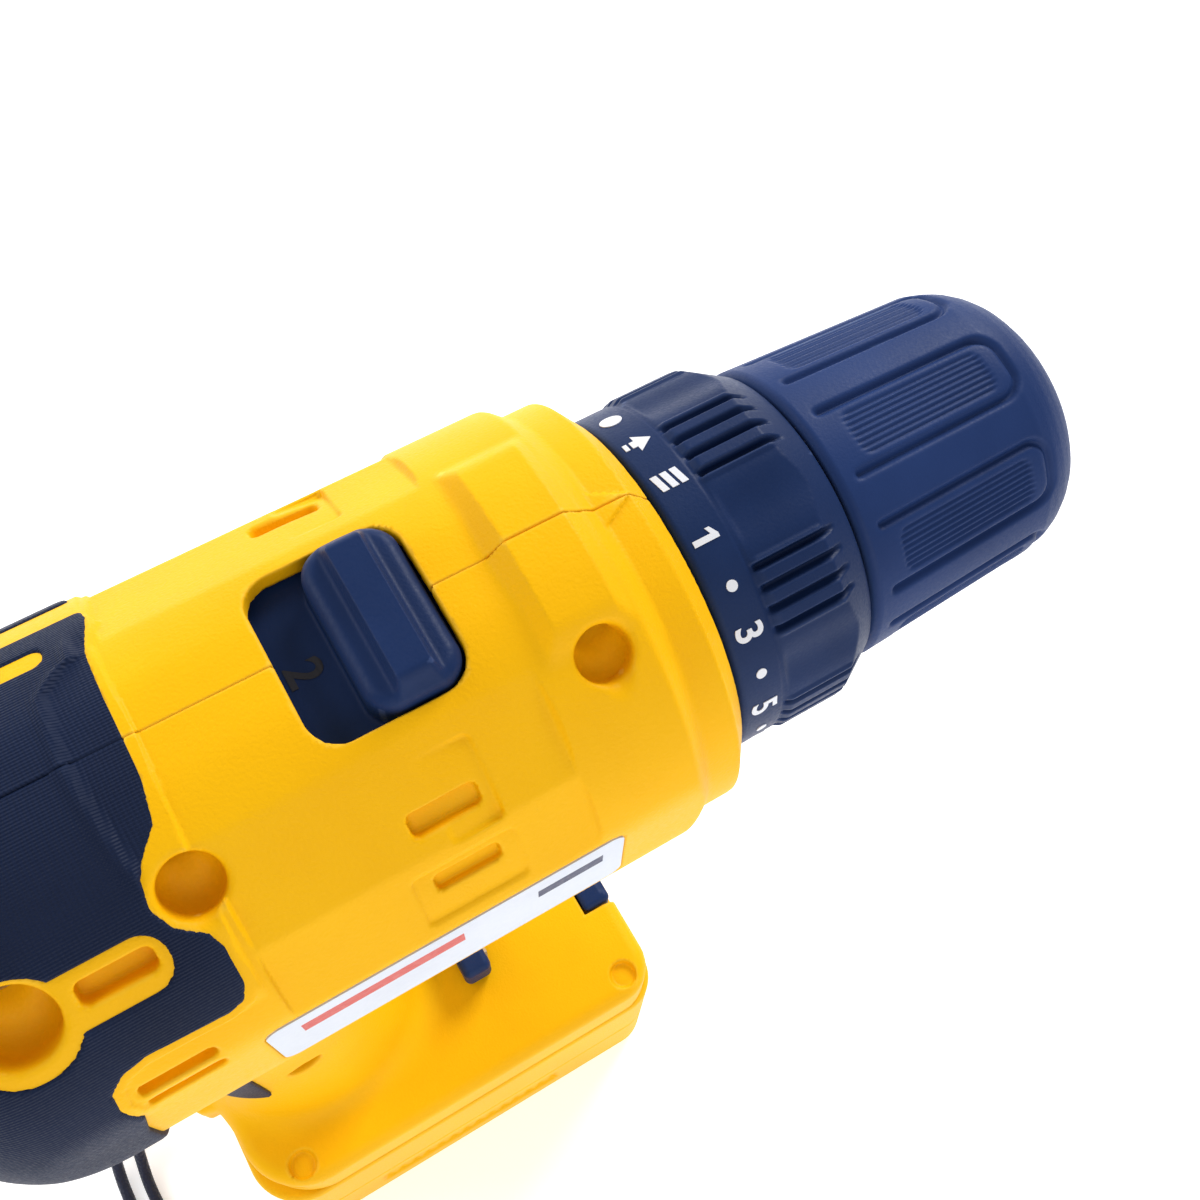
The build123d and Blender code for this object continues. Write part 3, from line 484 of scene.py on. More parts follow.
def make_materials():
    # the third colour of each finish is the painted highlight on its sharp edges
    plastic = dict(rough=(0.36, 0.5), grain=2400, depth=0.00003)
    m = {
        "yellow_plastic": finish_material("yellow_plastic", (0.88, 0.445, 0.001), (0.92, 0.49, 0.002),
                                          (1.0, 0.66, 0.10), (0.42, 0.55), 2300, 0.00007),
        "grip_rubber": finish_material("grip_rubber", (0.005, 0.010, 0.031), (0.008, 0.016, 0.048),
                                       (0.025, 0.04, 0.09), (0.42, 0.58), 2600, 0.00002),
        "navy_plastic": finish_material("navy_plastic", NAVY, NAVY_LIGHT, NAVY_EDGE_HIGHLIGHT, **plastic),
        "collar_plastic": finish_material("collar_plastic", NAVY, NAVY_LIGHT, NAVY_EDGE_HIGHLIGHT, **plastic),
        "chuck_plastic": finish_material("chuck_plastic", (0.012, 0.030, 0.108), (0.017, 0.040, 0.138),
                                         (0.06, 0.10, 0.22), (0.42, 0.55), 2400, 0.00003),
        "black_plastic": finish_material("black_plastic", (0.004, 0.005, 0.010), (0.008, 0.010, 0.018),
                                         (0.06, 0.06, 0.07), **plastic),
        "label_film": label_material(),
        "print_white": finish_material("print_white", (0.70, 0.73, 0.80), (0.80, 0.82, 0.87),
                                       (0.85, 0.86, 0.9), (0.45, 0.6), 3000, 0.00001, edge_highlight_strength=0.0),
        "screw_steel": steel("screw_steel"), "gear_steel": steel("gear_steel"),
        "spring_steel": steel("spring_steel"),
        "nickel": steel("nickel", (0.5, 0.48, 0.44), (0.62, 0.6, 0.55)),
        "motor_steel": steel("motor_steel", (0.38, 0.39, 0.4), (0.5, 0.51, 0.53)),
        "zinc_case": steel("zinc_case", (0.42, 0.42, 0.43), (0.55, 0.55, 0.56), (0.4, 0.6), None),
        "magnet": steel("magnet", (0.05, 0.05, 0.055), (0.08, 0.08, 0.085), (0.5, 0.7), None),
        "copper": steel("copper", (0.55, 0.22, 0.10), (0.72, 0.32, 0.16)),
        "carbon": steel("carbon", (0.02, 0.02, 0.022), (0.035, 0.035, 0.04), (0.5, 0.7), None),
        "cell_wrap": finish_material("cell_wrap", (0.05, 0.20, 0.11), (0.08, 0.27, 0.15), (0.2, 0.4, 0.3),
                                     (0.2, 0.35), 900, 0.00001),
        "lens": finish_material("lens", (0.86, 0.89, 0.93), (0.93, 0.95, 0.98), (1, 1, 1), (0.05, 0.15),
                                900, 0.00001),
        "strap_cord": finish_material("strap_cord", (0.012, 0.015, 0.035), (0.022, 0.027, 0.055),
                                      (0.06, 0.07, 0.1), (0.7, 0.85), 3200, 0.00006,
                                      pattern=(1500, 0.0002), stretch=(1, 1, 0.6), sheen=0.4),
    }
    m["lens"].node_tree.nodes["Principled BSDF"].inputs["Transmission Weight"].default_value = 0.7
    scale_texture(m["grip_rubber"])
    return m


MATERIALS = make_materials()


def dress(obj, body, slot, *nodes):
    """Gives a piece its finish and its body, and hides the CAD nodes that it stands for."""
    obj.data.materials.append(MATERIALS[slot])
    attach(obj, body)
    if nodes:
        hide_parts(*nodes)
    return obj


# ---- housing and rubber --------------------------------------------------------------------
HEIGHTS = [h for h, *_ in HANDLE]
HANDLE_FIT = [np.polyfit(HEIGHTS, [s[n] for s in HANDLE], 4) for n in (1, 2, 3)]
# flat facets along the shoulders: angle from the top of the facet's middle, and its distance from the axis
FACETS = ((37.9, 30.25), (62.3, 30.34))
FACET_X0, FACET_X1 = -62.5, -23.5


def handle(x, y, z, inset=0.0, z_low=-121.0):
    h = np.clip(z, HEIGHTS[-1], HEIGHTS[0])
    middle, a, b = (np.polyval(fit, h) for fit in HANDLE_FIT)
    a, b = a - inset, b - inset
    k0 = np.hypot((x - middle) / a, y / b)
    k1 = np.hypot((x - middle) / (a * a), y / (b * b))
    d = k0 * (k0 - 1) / np.maximum(k1, 1e-4)
    return np.maximum(np.maximum(d, z_low - z), z)


def barrel(x, y, z):
    r = np.hypot(y, z)
    d = rounded(TAIL_X - x, r - BARREL_R, TAIL_ROUND)
    d = soft_max(d, np.abs(y) - SIDE_Y, 0.8)
    d = soft_max(d, z - BARREL_TOP, 0.5)
    fade = 1.4 * (1 - ease(x, FACET_X0 - 1, FACET_X0) * (1 - ease(x, FACET_X1, FACET_X1 + 1.6)))
    for angle, reach in FACETS:
        a = math.radians(angle)
        d = soft_max(d, np.abs(y) * math.sin(a) + z * math.cos(a) - reach - fade, 0.15)
    cone = (x + 9.5) * 0.673 + (r - BARREL_R) * 0.74
    return soft_max(d, cone, 0.4)


def rubber_edge(x, y, z):
    """Distance outside the rubber's edge, measured on the surface."""
    way = way_round(y, z)
    right = outline(x, way, RUBBER_RIGHT)
    ring = np.hypot(x + 86.3, way - 22.6) - 5.9
    tab = panel(x, way, -86, -70.2, 19.0, 25.4, 2.8)
    right = soft_max(right, -np.minimum(ring, tab), 0.6)
    bands = np.minimum(panel(x, way, -88, -60, 21.3, 27.5, 3.0), panel(x, way, -78, -69, 13.9, 16.6, 1.3))
    left = soft_max(outline(x, way, RUBBER_LEFT), -bands, 0.6)
    return np.where(y < 0, right, left)


def skin(x, y, z):
    """Outer surface of barrel and handle that the rubber lies on."""
    return soft_min(barrel(x, y, z), handle(x, y, z), 5.0)


def foot(x, y, z):
    middle = (FOOT_X0 + FOOT_X1) / 2
    half_x = (FOOT_X1 - FOOT_X0) / 2
    u, v = np.abs(x - middle) - half_x, np.abs(y) - FOOT_Y
    plan = np.where(x < middle, rounded(u, v, FOOT_ROUND_REAR), rounded(u, v, FOOT_ROUND_FRONT))
    d = rounded(plan, z - FOOT_TOP, FOOT_ROUND_TOP)
    for sx in FOOT_SCREWS_X:
        across = np.hypot(x - sx, np.abs(y) - FOOT_SCREW_Y)
        well = rounded(across - FOOT_WELL_R, FOOT_TOP - FOOT_WELL_DEEP - z, 0.7)
        d = soft_max(d, -well, 0.6)
    lug = block(x, y, z, LUG_X, FOOT_X0 + 6, -LUG_Y, LUG_Y, FOOT_BASE + 1, FOOT_TOP - 1, 1.6)
    return soft_max(soft_min(d, lug, 1.5), FOOT_BASE - z, 0.5)


def nose(x, y, z, r):
    ease_r = 0.4
    flange = outline(x, r, [(-9.5, -1), (-9.5, FLANGE_R - ease_r), (-FLANGE_CHAMFER - 0.15, FLANGE_R - ease_r),
                            (-ease_r, FLANGE_FACE_R - 0.2), (-ease_r, -1)]) - ease_r
    run = PAD_RUN / (PAD_TOP_R - BARREL_R)
    side = (BARREL_R * np.arctan2(np.abs(y), z) - PAD_WAY + (r - PAD_TOP_R) * run) / math.hypot(1, run)
    pad = soft_max(outline(x, r, PAD_PROFILE) - PAD_EASE, side, 0.7)
    mark = soft_max(outline(x, y, [(-7.4, 2.5), (-2.7, 0.0), (-7.4, -2.5)]), r - FLANGE_R - 0.45, 0.3)
    mark = np.maximum(mark, 20 - z)
    return soft_min(soft_min(flange, pad, 0.5), mark, 0.15)


def side_cuts(x, y, z, r):
    """Recesses in the shoulders and sides, the same on both halves."""
    way = way_round(y, z)
    cuts = [soft_max(panel(x, way, -42.7, -34.1, 22.0, 25.1, 0.9), 28.9 - r, 0.4),
            soft_max(panel(x, way, -42.7, -34.5, 30.9, 33.5, 0.8), 28.9 - r, 0.4)]
    drop = 0.6 * np.clip((x + 39) / 6.2, 0, 1)
    cuts.append(soft_max(panel(x, way, -39, -32.6, 16.6, 27.6, 0.8), 30.55 - drop - r, 0.5))
    cuts.append(soft_max(panel(x, way, -45.1, -32.4, 29.6, 37.8, 0.8), 30.1 - r, 0.5))
    for middle in (37.6, 41.0):
        cuts.append(soft_max(panel(x, way, -80.4, -71.4, middle - 1.0, middle + 1.0, 0.8), 29.2 - r, 0.4))
    slot = panel(x, way, -79.8, -71.3, 20.4, 23.4, 1.0)
    cuts.append(np.maximum(soft_max(slot, 28.9 - r, 0.4), y))
    label = panel(x, z, LABEL_X0, LABEL_X1, -LABEL_Z, LABEL_Z, 2.0)
    cuts.append(soft_max(label, SIDE_Y - LABEL_DEEP - np.abs(y), 0.1))
    return cuts


def openings(x, y, z):
    """Selector slot, trigger, lever, battery channel and latch notch."""
    cuts = [soft_max(panel(x, y, SLOT_X0, SLOT_X1, -SLOT_Y, SLOT_Y, SLOT_ROUND), PLATE_Z1 - 1 - z, 0.3)]
    reach = TRIGGER_Y + GAP
    cuts.append(block(x, y, z, -60, -30, -reach, reach, TRIGGER_Z0 - GAP, TRIGGER_Z1 + GAP, 1.0))
    cuts.append(block(x, y, z, LEVER_X0 - GAP, LEVER_X1 + GAP, -40, 40, LEVER_Z0 - GAP, LEVER_Z1 + GAP, 0.8))
    cuts.append(block(x, y, z, CHANNEL_X0, 5, -RAIL_Y, RAIL_Y, RAIL_BASE, RAIL_TOP))
    cuts.append(block(x, y, z, CHANNEL_X0, 5, -STEM_Y, STEM_Y, FOOT_BASE - 5, RAIL_BASE + 1))
    reach = LATCH_Y + GAP
    cuts.append(block(x, y, z, LATCH_X0 - GAP, 5, -reach, reach, FOOT_BASE - 5, FOOT_TOP + 8))
    return cuts


def bowl_place(x, y, z, bowl):
    """Distance from a bowl's own axis, and distance along it from the chuck axis."""
    bx, way, _, _ = bowl
    a = way / BARREL_R
    aside = y * math.cos(a) + z * math.sin(a)
    return np.hypot(x - bx, aside), z * math.cos(a) - y * math.sin(a)


def bosses(x, y, z):
    """Blind wells that the screw heads sit in, and the posts that the screws run through."""
    posts = np.full(x.shape, 1e3)
    for bowl in BOWLS:
        across, out = bowl_place(x, y, z, bowl)
        posts = np.minimum(posts, soft_max(across - bowl[2] - BOSS_WALL, bowl[3] - BOSS_WALL - out, 0.4))
    way, r = way_round(y, z), np.hypot(y, z)
    for area in THICK_AREAS:
        posts = np.minimum(posts, soft_max(panel(x, way, *area, 1.0), 27.0 - r, 0.4))
    for sx, sz, seat, hole in SCREWS[:5]:
        across = np.hypot(x - sx, z - sz)
        posts = np.minimum(posts, soft_max(across - hole - BOSS_WALL, y + seat - BOSS_WALL, 0.4))
        posts = np.minimum(posts, np.maximum(across - POST_R, np.abs(y) - 26))
    return posts


def screw_wells(x, y, z):
    wells = []
    for bowl in BOWLS:
        across, out = bowl_place(x, y, z, bowl)
        wells.append(rounded(across - bowl[2], bowl[3] - out, BOWL_ROUND))
    inner = np.hypot(y, z) - 27.8
    for n, (sx, sz, seat, hole) in enumerate(SCREWS):
        across = np.hypot(x - sx, z - sz)
        if n < len(BOWLS):
            wells.append(np.maximum(np.maximum(across - SCREW_BORE_R, y + seat), inner))
        else:
            wells.append(rounded(across - hole, y + seat + 2.4, 1.2))
            wells.append(np.maximum(across - SCREW_BORE_R, y + seat))
        wells.append(np.maximum(across - PILOT_R, np.abs(y + 7) - 15))
    return wells


def housing(x, y, z):
    r = np.hypot(y, z)
    edge = rubber_edge(x, y, z)
    way = way_round(y, z)
    top_lip = 1 - ease(x - np.interp(way, *zip(*LIP_EDGE)), -0.3, 0.3)
    low_lip = 1 - ease(edge, LIP_WIDE - 0.3, LIP_WIDE + 0.3)
    low = ease(way, 31, 34)
    lip = LIP_HIGH * ease(edge, -0.9, -0.5) * (top_lip * (1 - low) + low_lip * low) * (1 - ease(way, 40, 46))
    sunk = (RUBBER_SUNK + 0.1) * (1 - ease(edge, -0.8, -0.3))
    body = soft_min(skin(x, y, z) - lip + sunk, foot(x, y, z), 5.0)
    body = soft_min(body, nose(x, y, z, r), 0.5)
    for cut in side_cuts(x, y, z, r):
        body = soft_max(body, -cut, 0.5)
    for cut in openings(x, y, z):
        body = soft_max(body, -cut, 0.45)
    inside = np.maximum(outline(x, r, CAVITY), np.abs(y) - 27.2)
    inside = np.minimum(inside, handle(x, y, z, WALL, -114.0))
    inside = np.minimum(inside, np.maximum(r - NOSE_OPENING_R, -9 - x))
    body = np.maximum(body, -np.maximum(inside, -bosses(x, y, z)))
    for well in screw_wells(x, y, z):
        body = soft_max(body, -well, 1.0)
    return body


def rubber(x, y, z):
    base = skin(x, y, z)
    way = way_round(y, z)
    ahead = x - np.interp(np.where(y > 0, -way, way), *zip(*RIDGE))
    fade = 1 - ease(way, 13, 17)
    ridge = (0.4 * np.exp(-(ahead / 0.9) ** 2) - 0.3 * ease(ahead, 0.0, 1.6)) * fade
    thick = np.where(np.abs(y) < 28, RUBBER_THICK + ridge, RUBBER_THICK)
    top = soft_max(base - thick, rubber_edge(x, y, z) + 0.1, 0.6)
    return np.maximum(top, -(base + RUBBER_SUNK))


def half_of(field, side):
    """One half of a field, with the seam's edge slightly eased."""
    return lambda x, y, z: soft_max(field(x, y, z), side * y + 0.015, 0.14)


def build_housing():
    xs = planes((-106.5, -70.5, 0.56), (-70.5, -61.5, 0.36), (-61.5, -24, 0.52), (-24, 1.2, 0.44))
    zs = planes((-133.5, -129, 0.5), (-129, -115, 0.7), (-115, -45, 1.15), (-45, -5, 0.85), (-5, 14, 0.56),
                (14, 34.2, 0.46))
    rubber_xs = planes((-107, -70.5, 0.45), (-70.5, -62, 0.36))
    rubber_zs = planes((-98, -45, 1.0), (-45, -5, 0.7), (-5, 33.8, 0.45))
    for name, side in (("right", 1), ("left", -1)):
        ys = np.sort(side * planes((-31.8, 0.8, 0.52)))
        piece = moulded_piece(f"shell_{name}", half_of(housing, side), xs, ys, zs)
        dress(piece, "housing", "yellow_plastic", f"housing_{name}")
        piece = moulded_piece(f"grip_skin_{name}", half_of(rubber, side), rubber_xs, ys, rubber_zs)
        dress(piece, "housing", "grip_rubber", f"grip_rubber_{name}")


# ---- speed selector ------------------------------------------------------------------------
KNOB_X0, KNOB_X1, KNOB_Y, KNOB_ROUND, KNOB_TOP = -40.75, -29.0, 10.8, 3.6, 31.2
KNOB_RIB = [(-38.6, 28), (-36.9, 32.95), (-32.7, 32.95), (-31.0, 28)]
GEAR_NUMBER_AT, GEAR_NUMBER_SIZE = (-45.0, 0.0), 6.0


def selector(x, y, z):
    """Sliding plate with a low pad on it, and a raised rib across the pad."""
    plate = block(x, y, z, -48.4, -22.4, -PLATE_Y, PLATE_Y, PLATE_Z0, PLATE_Z1, 0.3)
    plan = panel(x, y, KNOB_X0, KNOB_X1, -KNOB_Y, KNOB_Y, KNOB_ROUND)
    slope = z - KNOB_TOP + 0.10 * np.abs(x + 35)
    lobes = np.maximum(rounded(plan, slope, 1.6), PLATE_Z0 + 0.5 - z)
    rib = rounded(outline(x, z, KNOB_RIB), np.abs(y) - 10.5 + 0.55 * np.maximum(z - 30.4, 0), 0.7)
    return soft_min(soft_min(lobes, rib, 0.5), plate, 0.6)


def text_outline(text, size):
    """Flat mesh of a number, centred: vertices and triangles in millimetres."""
    curve = bpy.data.curves.new("number", "FONT")
    curve.body, curve.size = text, size
    curve.align_x, curve.align_y = "CENTER", "CENTER"
    curve.extrude, curve.offset = 0.5, 0.02 * size
    holder = bpy.data.objects.new("number", curve)
    bpy.context.scene.collection.objects.link(holder)
    bpy.context.view_layer.update()
    mesh = bpy.data.meshes.new_from_object(holder.evaluated_get(bpy.context.evaluated_depsgraph_get()))
    points = [tuple(v.co) for v in mesh.vertices]
    faces = [tuple(p.vertices) for p in mesh.polygons]
    bpy.data.objects.remove(holder)
    bpy.data.curves.remove(curve)
    bpy.data.meshes.remove(mesh)
    return points, faces


def prism(points):
    """Raised flat shape with the given outline, in the same form as text_outline."""
    n = len(points)
    verts = [(u, v, w) for w in (-0.5, 0.5) for u, v in points]
    faces = [tuple(range(n))[::-1], tuple(range(n, 2 * n))]
    faces += [(k, (k + 1) % n, n + (k + 1) % n, n + k) for k in range(n)]
    return verts, faces


def printed(name, shapes, place):
    """One mesh of raised print: place(u, v, w) maps every shape's flat coordinates to the drill frame."""
    verts, faces = [], []
    for (points, polys), at in shapes:
        start = len(verts)
        verts += [tuple(np.array(place(u, v, w, at)) * MM + ORIGIN) for u, v, w in points]
        faces += [tuple(start + k for k in poly) for poly in polys]
    mesh = bpy.data.meshes.new(name)
    mesh.from_pydata(verts, [], faces)
    mesh.validate()
    obj = bpy.data.objects.new(name, mesh)
    bpy.context.scene.collection.objects.link(obj)
    return obj


def build_selector():
    piece = moulded_piece("selector_knob", selector, planes((-49.2, -21.6, 0.3)), planes((-12.8, 12.8, 0.3)),
                          planes((22.4, 33.8, 0.3)))
    dress(piece, "selector", "navy_plastic", "speed_selector")
    # the gear number stands on the floor of the slot, with its top towards the chuck
    number = printed("gear_number", [(text_outline("2", GEAR_NUMBER_SIZE), GEAR_NUMBER_AT)],
                     lambda u, v, w, at: (at[0] + v, at[1] - u, PLATE_Z1 + 0.2 * w))
    dress(number, "selector", "black_plastic")


# ---- torque collar -------------------------------------------------------------------------
BAND_R, BAND_X = 24.3, 6.8
RIB_GROUPS, RIB_START, RIB_PITCH, RIB_REACH = 7, 40.5, 6.6, 12.6      # degrees but for the count
COLLAR_BORE_R = 18.6


def collar_radius(x, degrees):
    """Plain band for the numbers, then groups of ribs with shallow scoops between them."""
    period = 360 / RIB_GROUPS
    c = (degrees - RIB_START + period / 2) % period - period / 2
    ribs = ease(np.cos(np.radians(c * 360 / RIB_PITCH)), -0.85, -0.15)
    in_ribs = 1 - ease(np.abs(c), RIB_REACH - 0.6, RIB_REACH + 0.6)
    scoop = 24.45 - 0.75 * np.cos(np.radians((np.abs(c) - period / 2) * 90 / (period / 2 - RIB_REACH))) ** 2
    grip = scoop * (1 - in_ribs) + (23.3 + 1.5 * ribs) * in_ribs
    limit = 24.85 - 0.60 * max(x - 17.2, 0)
    grip = np.minimum(grip, limit)
    start = float(ease(np.array(x), BAND_X + 0.3, BAND_X + 1.6))
    r = BAND_R * (1 - start) + grip * start
    r = np.where((x > BAND_X + 0.2) & (x < BAND_X + 0.5), np.minimum(r, BAND_R - 0.15), r)
    if x < COLLAR_X0 + 0.5:
        r = r - (COLLAR_X0 + 0.5 - x) * 0.8
    return r


# print on the band: its X, the dots' X, the size of the numbers, and angles from the top in degrees
PRINT_X, DOT_X, NUMBER_SIZE = 3.9, 4.2, 5.2
FIRST_ANGLE, NUMBER_STEP, LAST_NUMBER = 17, 15, 17
BARS_ANGLE, ARROW_ANGLE, DISC_ANGLE = -4, -21, -38
FLAGGED_ONE = [(-0.4, -1.75), (0.4, -1.75), (0.4, 1.75), (-0.15, 1.75), (-1.25, 1.05), (-1.25, 0.45),
               (-0.4, 0.85)]
ARROW = ([(-1.6, -0.2), (0, 1.9), (1.6, -0.2)],
         [(-0.6, -0.9), (-0.6, -0.1), (0.6, -0.1), (0.6, -0.9)],
         [(-0.6, -1.9), (-0.6, -1.3), (0.6, -1.3), (0.6, -1.9)])


def disc(radius, count):
    angles = np.arange(count) * 2 * math.pi / count
    return prism([(radius * math.cos(a), radius * math.sin(a)) for a in angles])


def collar_print():
    """Odd numbers with dots between them, then three bars, an arrow and a disc."""
    def place(u, v, w, at):
        angle = math.radians(at[1]) + u / BAND_R
        r = BAND_R + 0.02 + 0.16 * w
        return at[0] + v, -r * math.sin(angle), r * math.cos(angle)

    shapes = [(prism(FLAGGED_ONE), (PRINT_X, FIRST_ANGLE))]
    dot = disc(0.75, 16)
    for n in range(2, LAST_NUMBER + 1):
        angle = FIRST_ANGLE + NUMBER_STEP * (n - 1)
        odd = n % 2 == 1
        shapes.append((text_outline(str(n), NUMBER_SIZE), (PRINT_X, angle)) if odd else (dot, (DOT_X, angle)))
    for k in range(3):
        low = 1.35 * k
        bar = prism([(-1.2, low - 1.9), (1.3, low - 1.4), (1.3, low - 0.5), (-1.2, low - 1.0)])
        shapes.append((bar, (PRINT_X, BARS_ANGLE)))
    shapes += [(prism(points), (PRINT_X, ARROW_ANGLE)) for points in ARROW]
    shapes.append((disc(1.5, 20), (PRINT_X, DISC_ANGLE)))
    return printed("collar_numbers", shapes, place)


def build_collar():
    outer = [(x, None) for x in np.arange(COLLAR_X0, COLLAR_X1 - 0.05, 0.3)]
    bore = [(x, COLLAR_BORE_R) for x in (COLLAR_X1, 17.2, 12, 6, COLLAR_X0)]
    inner = [(COLLAR_X1, 21.5), *bore, (COLLAR_X0, 21.0)]
    ring = turned_piece("collar_ring", outer + inner, collar_radius)
    dress(ring, "collar", "collar_plastic", "torque_collar")
    number = collar_print()
    number.data.materials.append(MATERIALS["print_white"])
    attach(number, "collar")


# ---- chuck sleeve --------------------------------------------------------------------------
SLEEVE_X0, SLEEVE_X1 = 23.4, 61.2
SLEEVE_LINE = ((SLEEVE_X0, 21.1), (24.2, 21.72), (53, 20.3), (55, 19.75), (56.5, 19.15), (58.2, 18.1),
               (59.5, 17.0), (60.6, 15.6), (SLEEVE_X1, 14.6))


PANELS, PANEL_START, PANEL_R = 8, 7.5, 20.8      # grip panels round the sleeve, the first one's angle, radius


def sleeve_radius(x, degrees):
    """Eight grip panels, each a field of fine ribs inside a groove that is open to the rear."""
    base = np.interp(x, *zip(*SLEEVE_LINE))
    period = 360 / PANELS
    c = (degrees - PANEL_START + period / 2) % period - period / 2
    s = np.radians(c) * PANEL_R
    d = panel(np.full_like(s, x), s, 16, 53.4, -4.75, 4.75, 3.0)
    window = float(ease(np.array(x), 25.8, 26.8))
    groove = 0.95 * np.exp(-(d / 0.55) ** 2) * window
    inner = panel(np.full_like(s, x), s, 28.6, 50.5, -3.3, 3.3, 1.6)
    ribs = 0.16 * np.cos(s * 2 * math.pi / 0.82) * (1 - ease(inner, -0.5, 0.1))
    sunk = 0.25 * (1 - ease(inner, -0.6, 0.3))
    return base - groove - sunk + ribs


def build_sleeve():
    outer = [(x, None) for x in np.arange(SLEEVE_X0, SLEEVE_X1, 0.4)]
    inner = [(SLEEVE_X1, 14.2), (54.8, 15.2), (52.6, 19.0), (43, 19.0), (33, 19.0), (25.4, 19.0),
             (SLEEVE_X0, 18.4)]
    sleeve = turned_piece("chuck_shell", outer + inner, sleeve_radius)
    dress(sleeve, "sleeve", "chuck_plastic", "chuck_sleeve")


# ---- battery -------------------------------------------------------------------------------
STEM_X0, STEM_X1 = -77.6, -14.0
BLADES_Y = (-12, -4, 4, 12)            # slots for the contacts


def pack_body(x, y, inset=0.0):
    u = np.abs(x - (PACK_X0 + PACK_X1) / 2) - (PACK_X1 - PACK_X0) / 2 + inset
    v = np.abs(y) - PACK_Y + inset
    return np.where(x < -50, rounded(u, v, PACK_CORNER + 3.0 - inset), rounded(u, v, PACK_CORNER - inset))


def pack_side(x, y, z):
    """Outer wall with a sunk field of upright ribs on each side, and a groove where the cases meet."""
    wall = pack_body(x, y)
    hollow = panel(x, z, -74, -30, -170, -160, 2.5)
    ribs = 0.35 * (0.5 + 0.5 * np.cos((x + 52) * 2 * math.pi / 3.2))
    sunk = (0.9 - ribs) * (1 - ease(hollow, -0.8, 0.0)) * (np.abs(y) > 20)
    seam = 0.4 * np.exp(-((z - PACK_SPLIT) / 0.45) ** 2)
    return wall + sunk + seam


def battery_upper(x, y, z):
    d = rounded(pack_side(x, y, z), z - PACK_TOP, 1.0)
    d = np.maximum(d, PACK_SPLIT - z)
    d = np.maximum(d, -np.maximum(pack_body(x, y, PACK_WALL), z - PACK_TOP + PACK_WALL))
    stem = block(x, y, z, STEM_X0, STEM_X1, -STEM_Y + GAP, STEM_Y - GAP, PACK_TOP - 2, RAIL_BASE + 0.4, 0.3)
    rails = block(x, y, z, STEM_X0, STEM_X1, -RAIL_Y + GAP, RAIL_Y - GAP, RAIL_BASE + 0.3, RAIL_TOP - 0.5, 0.5)
    d = np.minimum(d, np.minimum(stem, rails))
    for blade in BLADES_Y:
        d = np.maximum(d, -block(x, y, z, -80, -68, blade - 1.1, blade + 1.1, -127.2, -120, 0.1))
    well = block(x, y, z, LATCH_X0 - 0.5, -5.7, -LATCH_Y - 0.3, LATCH_Y + 0.3, -140, PACK_TOP + 3, 0.3)
    return soft_max(d, -well, 0.3)


def battery_lower(x, y, z):
    d = rounded(pack_side(x, y, z), PACK_BASE - z, 2.0)
    d = np.maximum(d, z - PACK_SPLIT)
    return np.maximum(d, -np.maximum(pack_body(x, y, PACK_WALL), PACK_BASE + PACK_WALL - z))


def build_battery():
    xs, ys = planes((PACK_X0 - 1, PACK_X1 + 1.2, 0.9)), planes((-31.4, 31.6, 0.9))
    upper = moulded_piece("pack_top", battery_upper, xs, ys, planes((PACK_SPLIT - 1, -119.6, 0.7)))
    dress(upper, "battery", "yellow_plastic", "battery_upper")
    lower = moulded_piece("pack_base", battery_lower, xs, ys, planes((PACK_BASE - 1, PACK_SPLIT + 1, 0.7)))
    dress(lower, "battery", "yellow_plastic", "battery_lower")


# ---- wrist strap ---------------------------------------------------------------------------
STRAP_D, FLOOR = 2.6, -176.6
STRAP_ROUTE = [
    (LUG_X, 2.4, -124.0), (-105.0, 2.4, -124.0), (-112.0, 4.5, -129.0), (-116.5, 8.5, -139.0),
    (-119.5, 12.0, -151.5), (-122.5, 12.5, -164.5), (-125.0, 8.5, -174.5), (-126.5, -2.5, FLOOR),
    (-125.5, -16.5, FLOOR), (-128.5, -31.0, FLOOR), (-129.0, -46.0, FLOOR), (-120.5, -57.5, FLOOR),
    (-108.0, -56.0, FLOOR), (-104.5, -44.0, FLOOR), (-113.5, -31.0, FLOOR), (-119.5, -20.0, FLOOR),
    (-121.5, -5.5, FLOOR), (-120.0, 4.5, -174.0), (-117.5, 8.0, -164.0), (-115.0, 6.0, -151.5),
    (-112.5, 1.5, -139.0), (-109.5, -1.5, -129.5), (-104.5, -2.4, -124.0), (LUG_X, -2.4, -124.0),
]


def build_strap():
    curve = bpy.data.curves.new("strap", "CURVE")
    curve.dimensions = "3D"
    spline = curve.splines.new("NURBS")
    spline.points.add(len(STRAP_ROUTE) - 1)
    for point, place in zip(spline.points, STRAP_ROUTE):
        point.co = (*(np.array(place) * MM + ORIGIN), 1)
    spline.order_u = 3
    spline.use_endpoint_u = True
    spline.resolution_u = 12
    curve.bevel_depth = STRAP_D / 2 * MM
    curve.bevel_resolution = 6
    strap = bpy.data.objects.new("strap", curve)
    bpy.context.scene.collection.objects.link(strap)
    dress(strap, "housing", "strap_cord", "wrist_strap")


# ---- trigger, lever, latch and light -------------------------------------------------------
TRIGGER_FACE = [(-58, TRIGGER_Z1), (-45.5, TRIGGER_Z1), (-43.8, -42), (-45.4, -48), (-46.2, -53), (-45.6, -59),
                (-43.6, TRIGGER_Z0 + 1), (-45.5, TRIGGER_Z0), (-58, TRIGGER_Z0)]
LEVER_Y, LATCH_X1, LATCH_TOP = 21.8, -6.2, -117.6
LIGHT_X0, LIGHT_X1, LIGHT_Y, LIGHT_TOP = -40.2, -34.4, 12.2, -110.0
LENS_X0, LENS_Y, LENS_Z0, LENS_Z1 = -35.6, 9.0, -116.5, -111.5


def waves(place, pitch, depth):
    return depth * (0.5 + 0.5 * np.cos(place * 2 * math.pi / pitch))


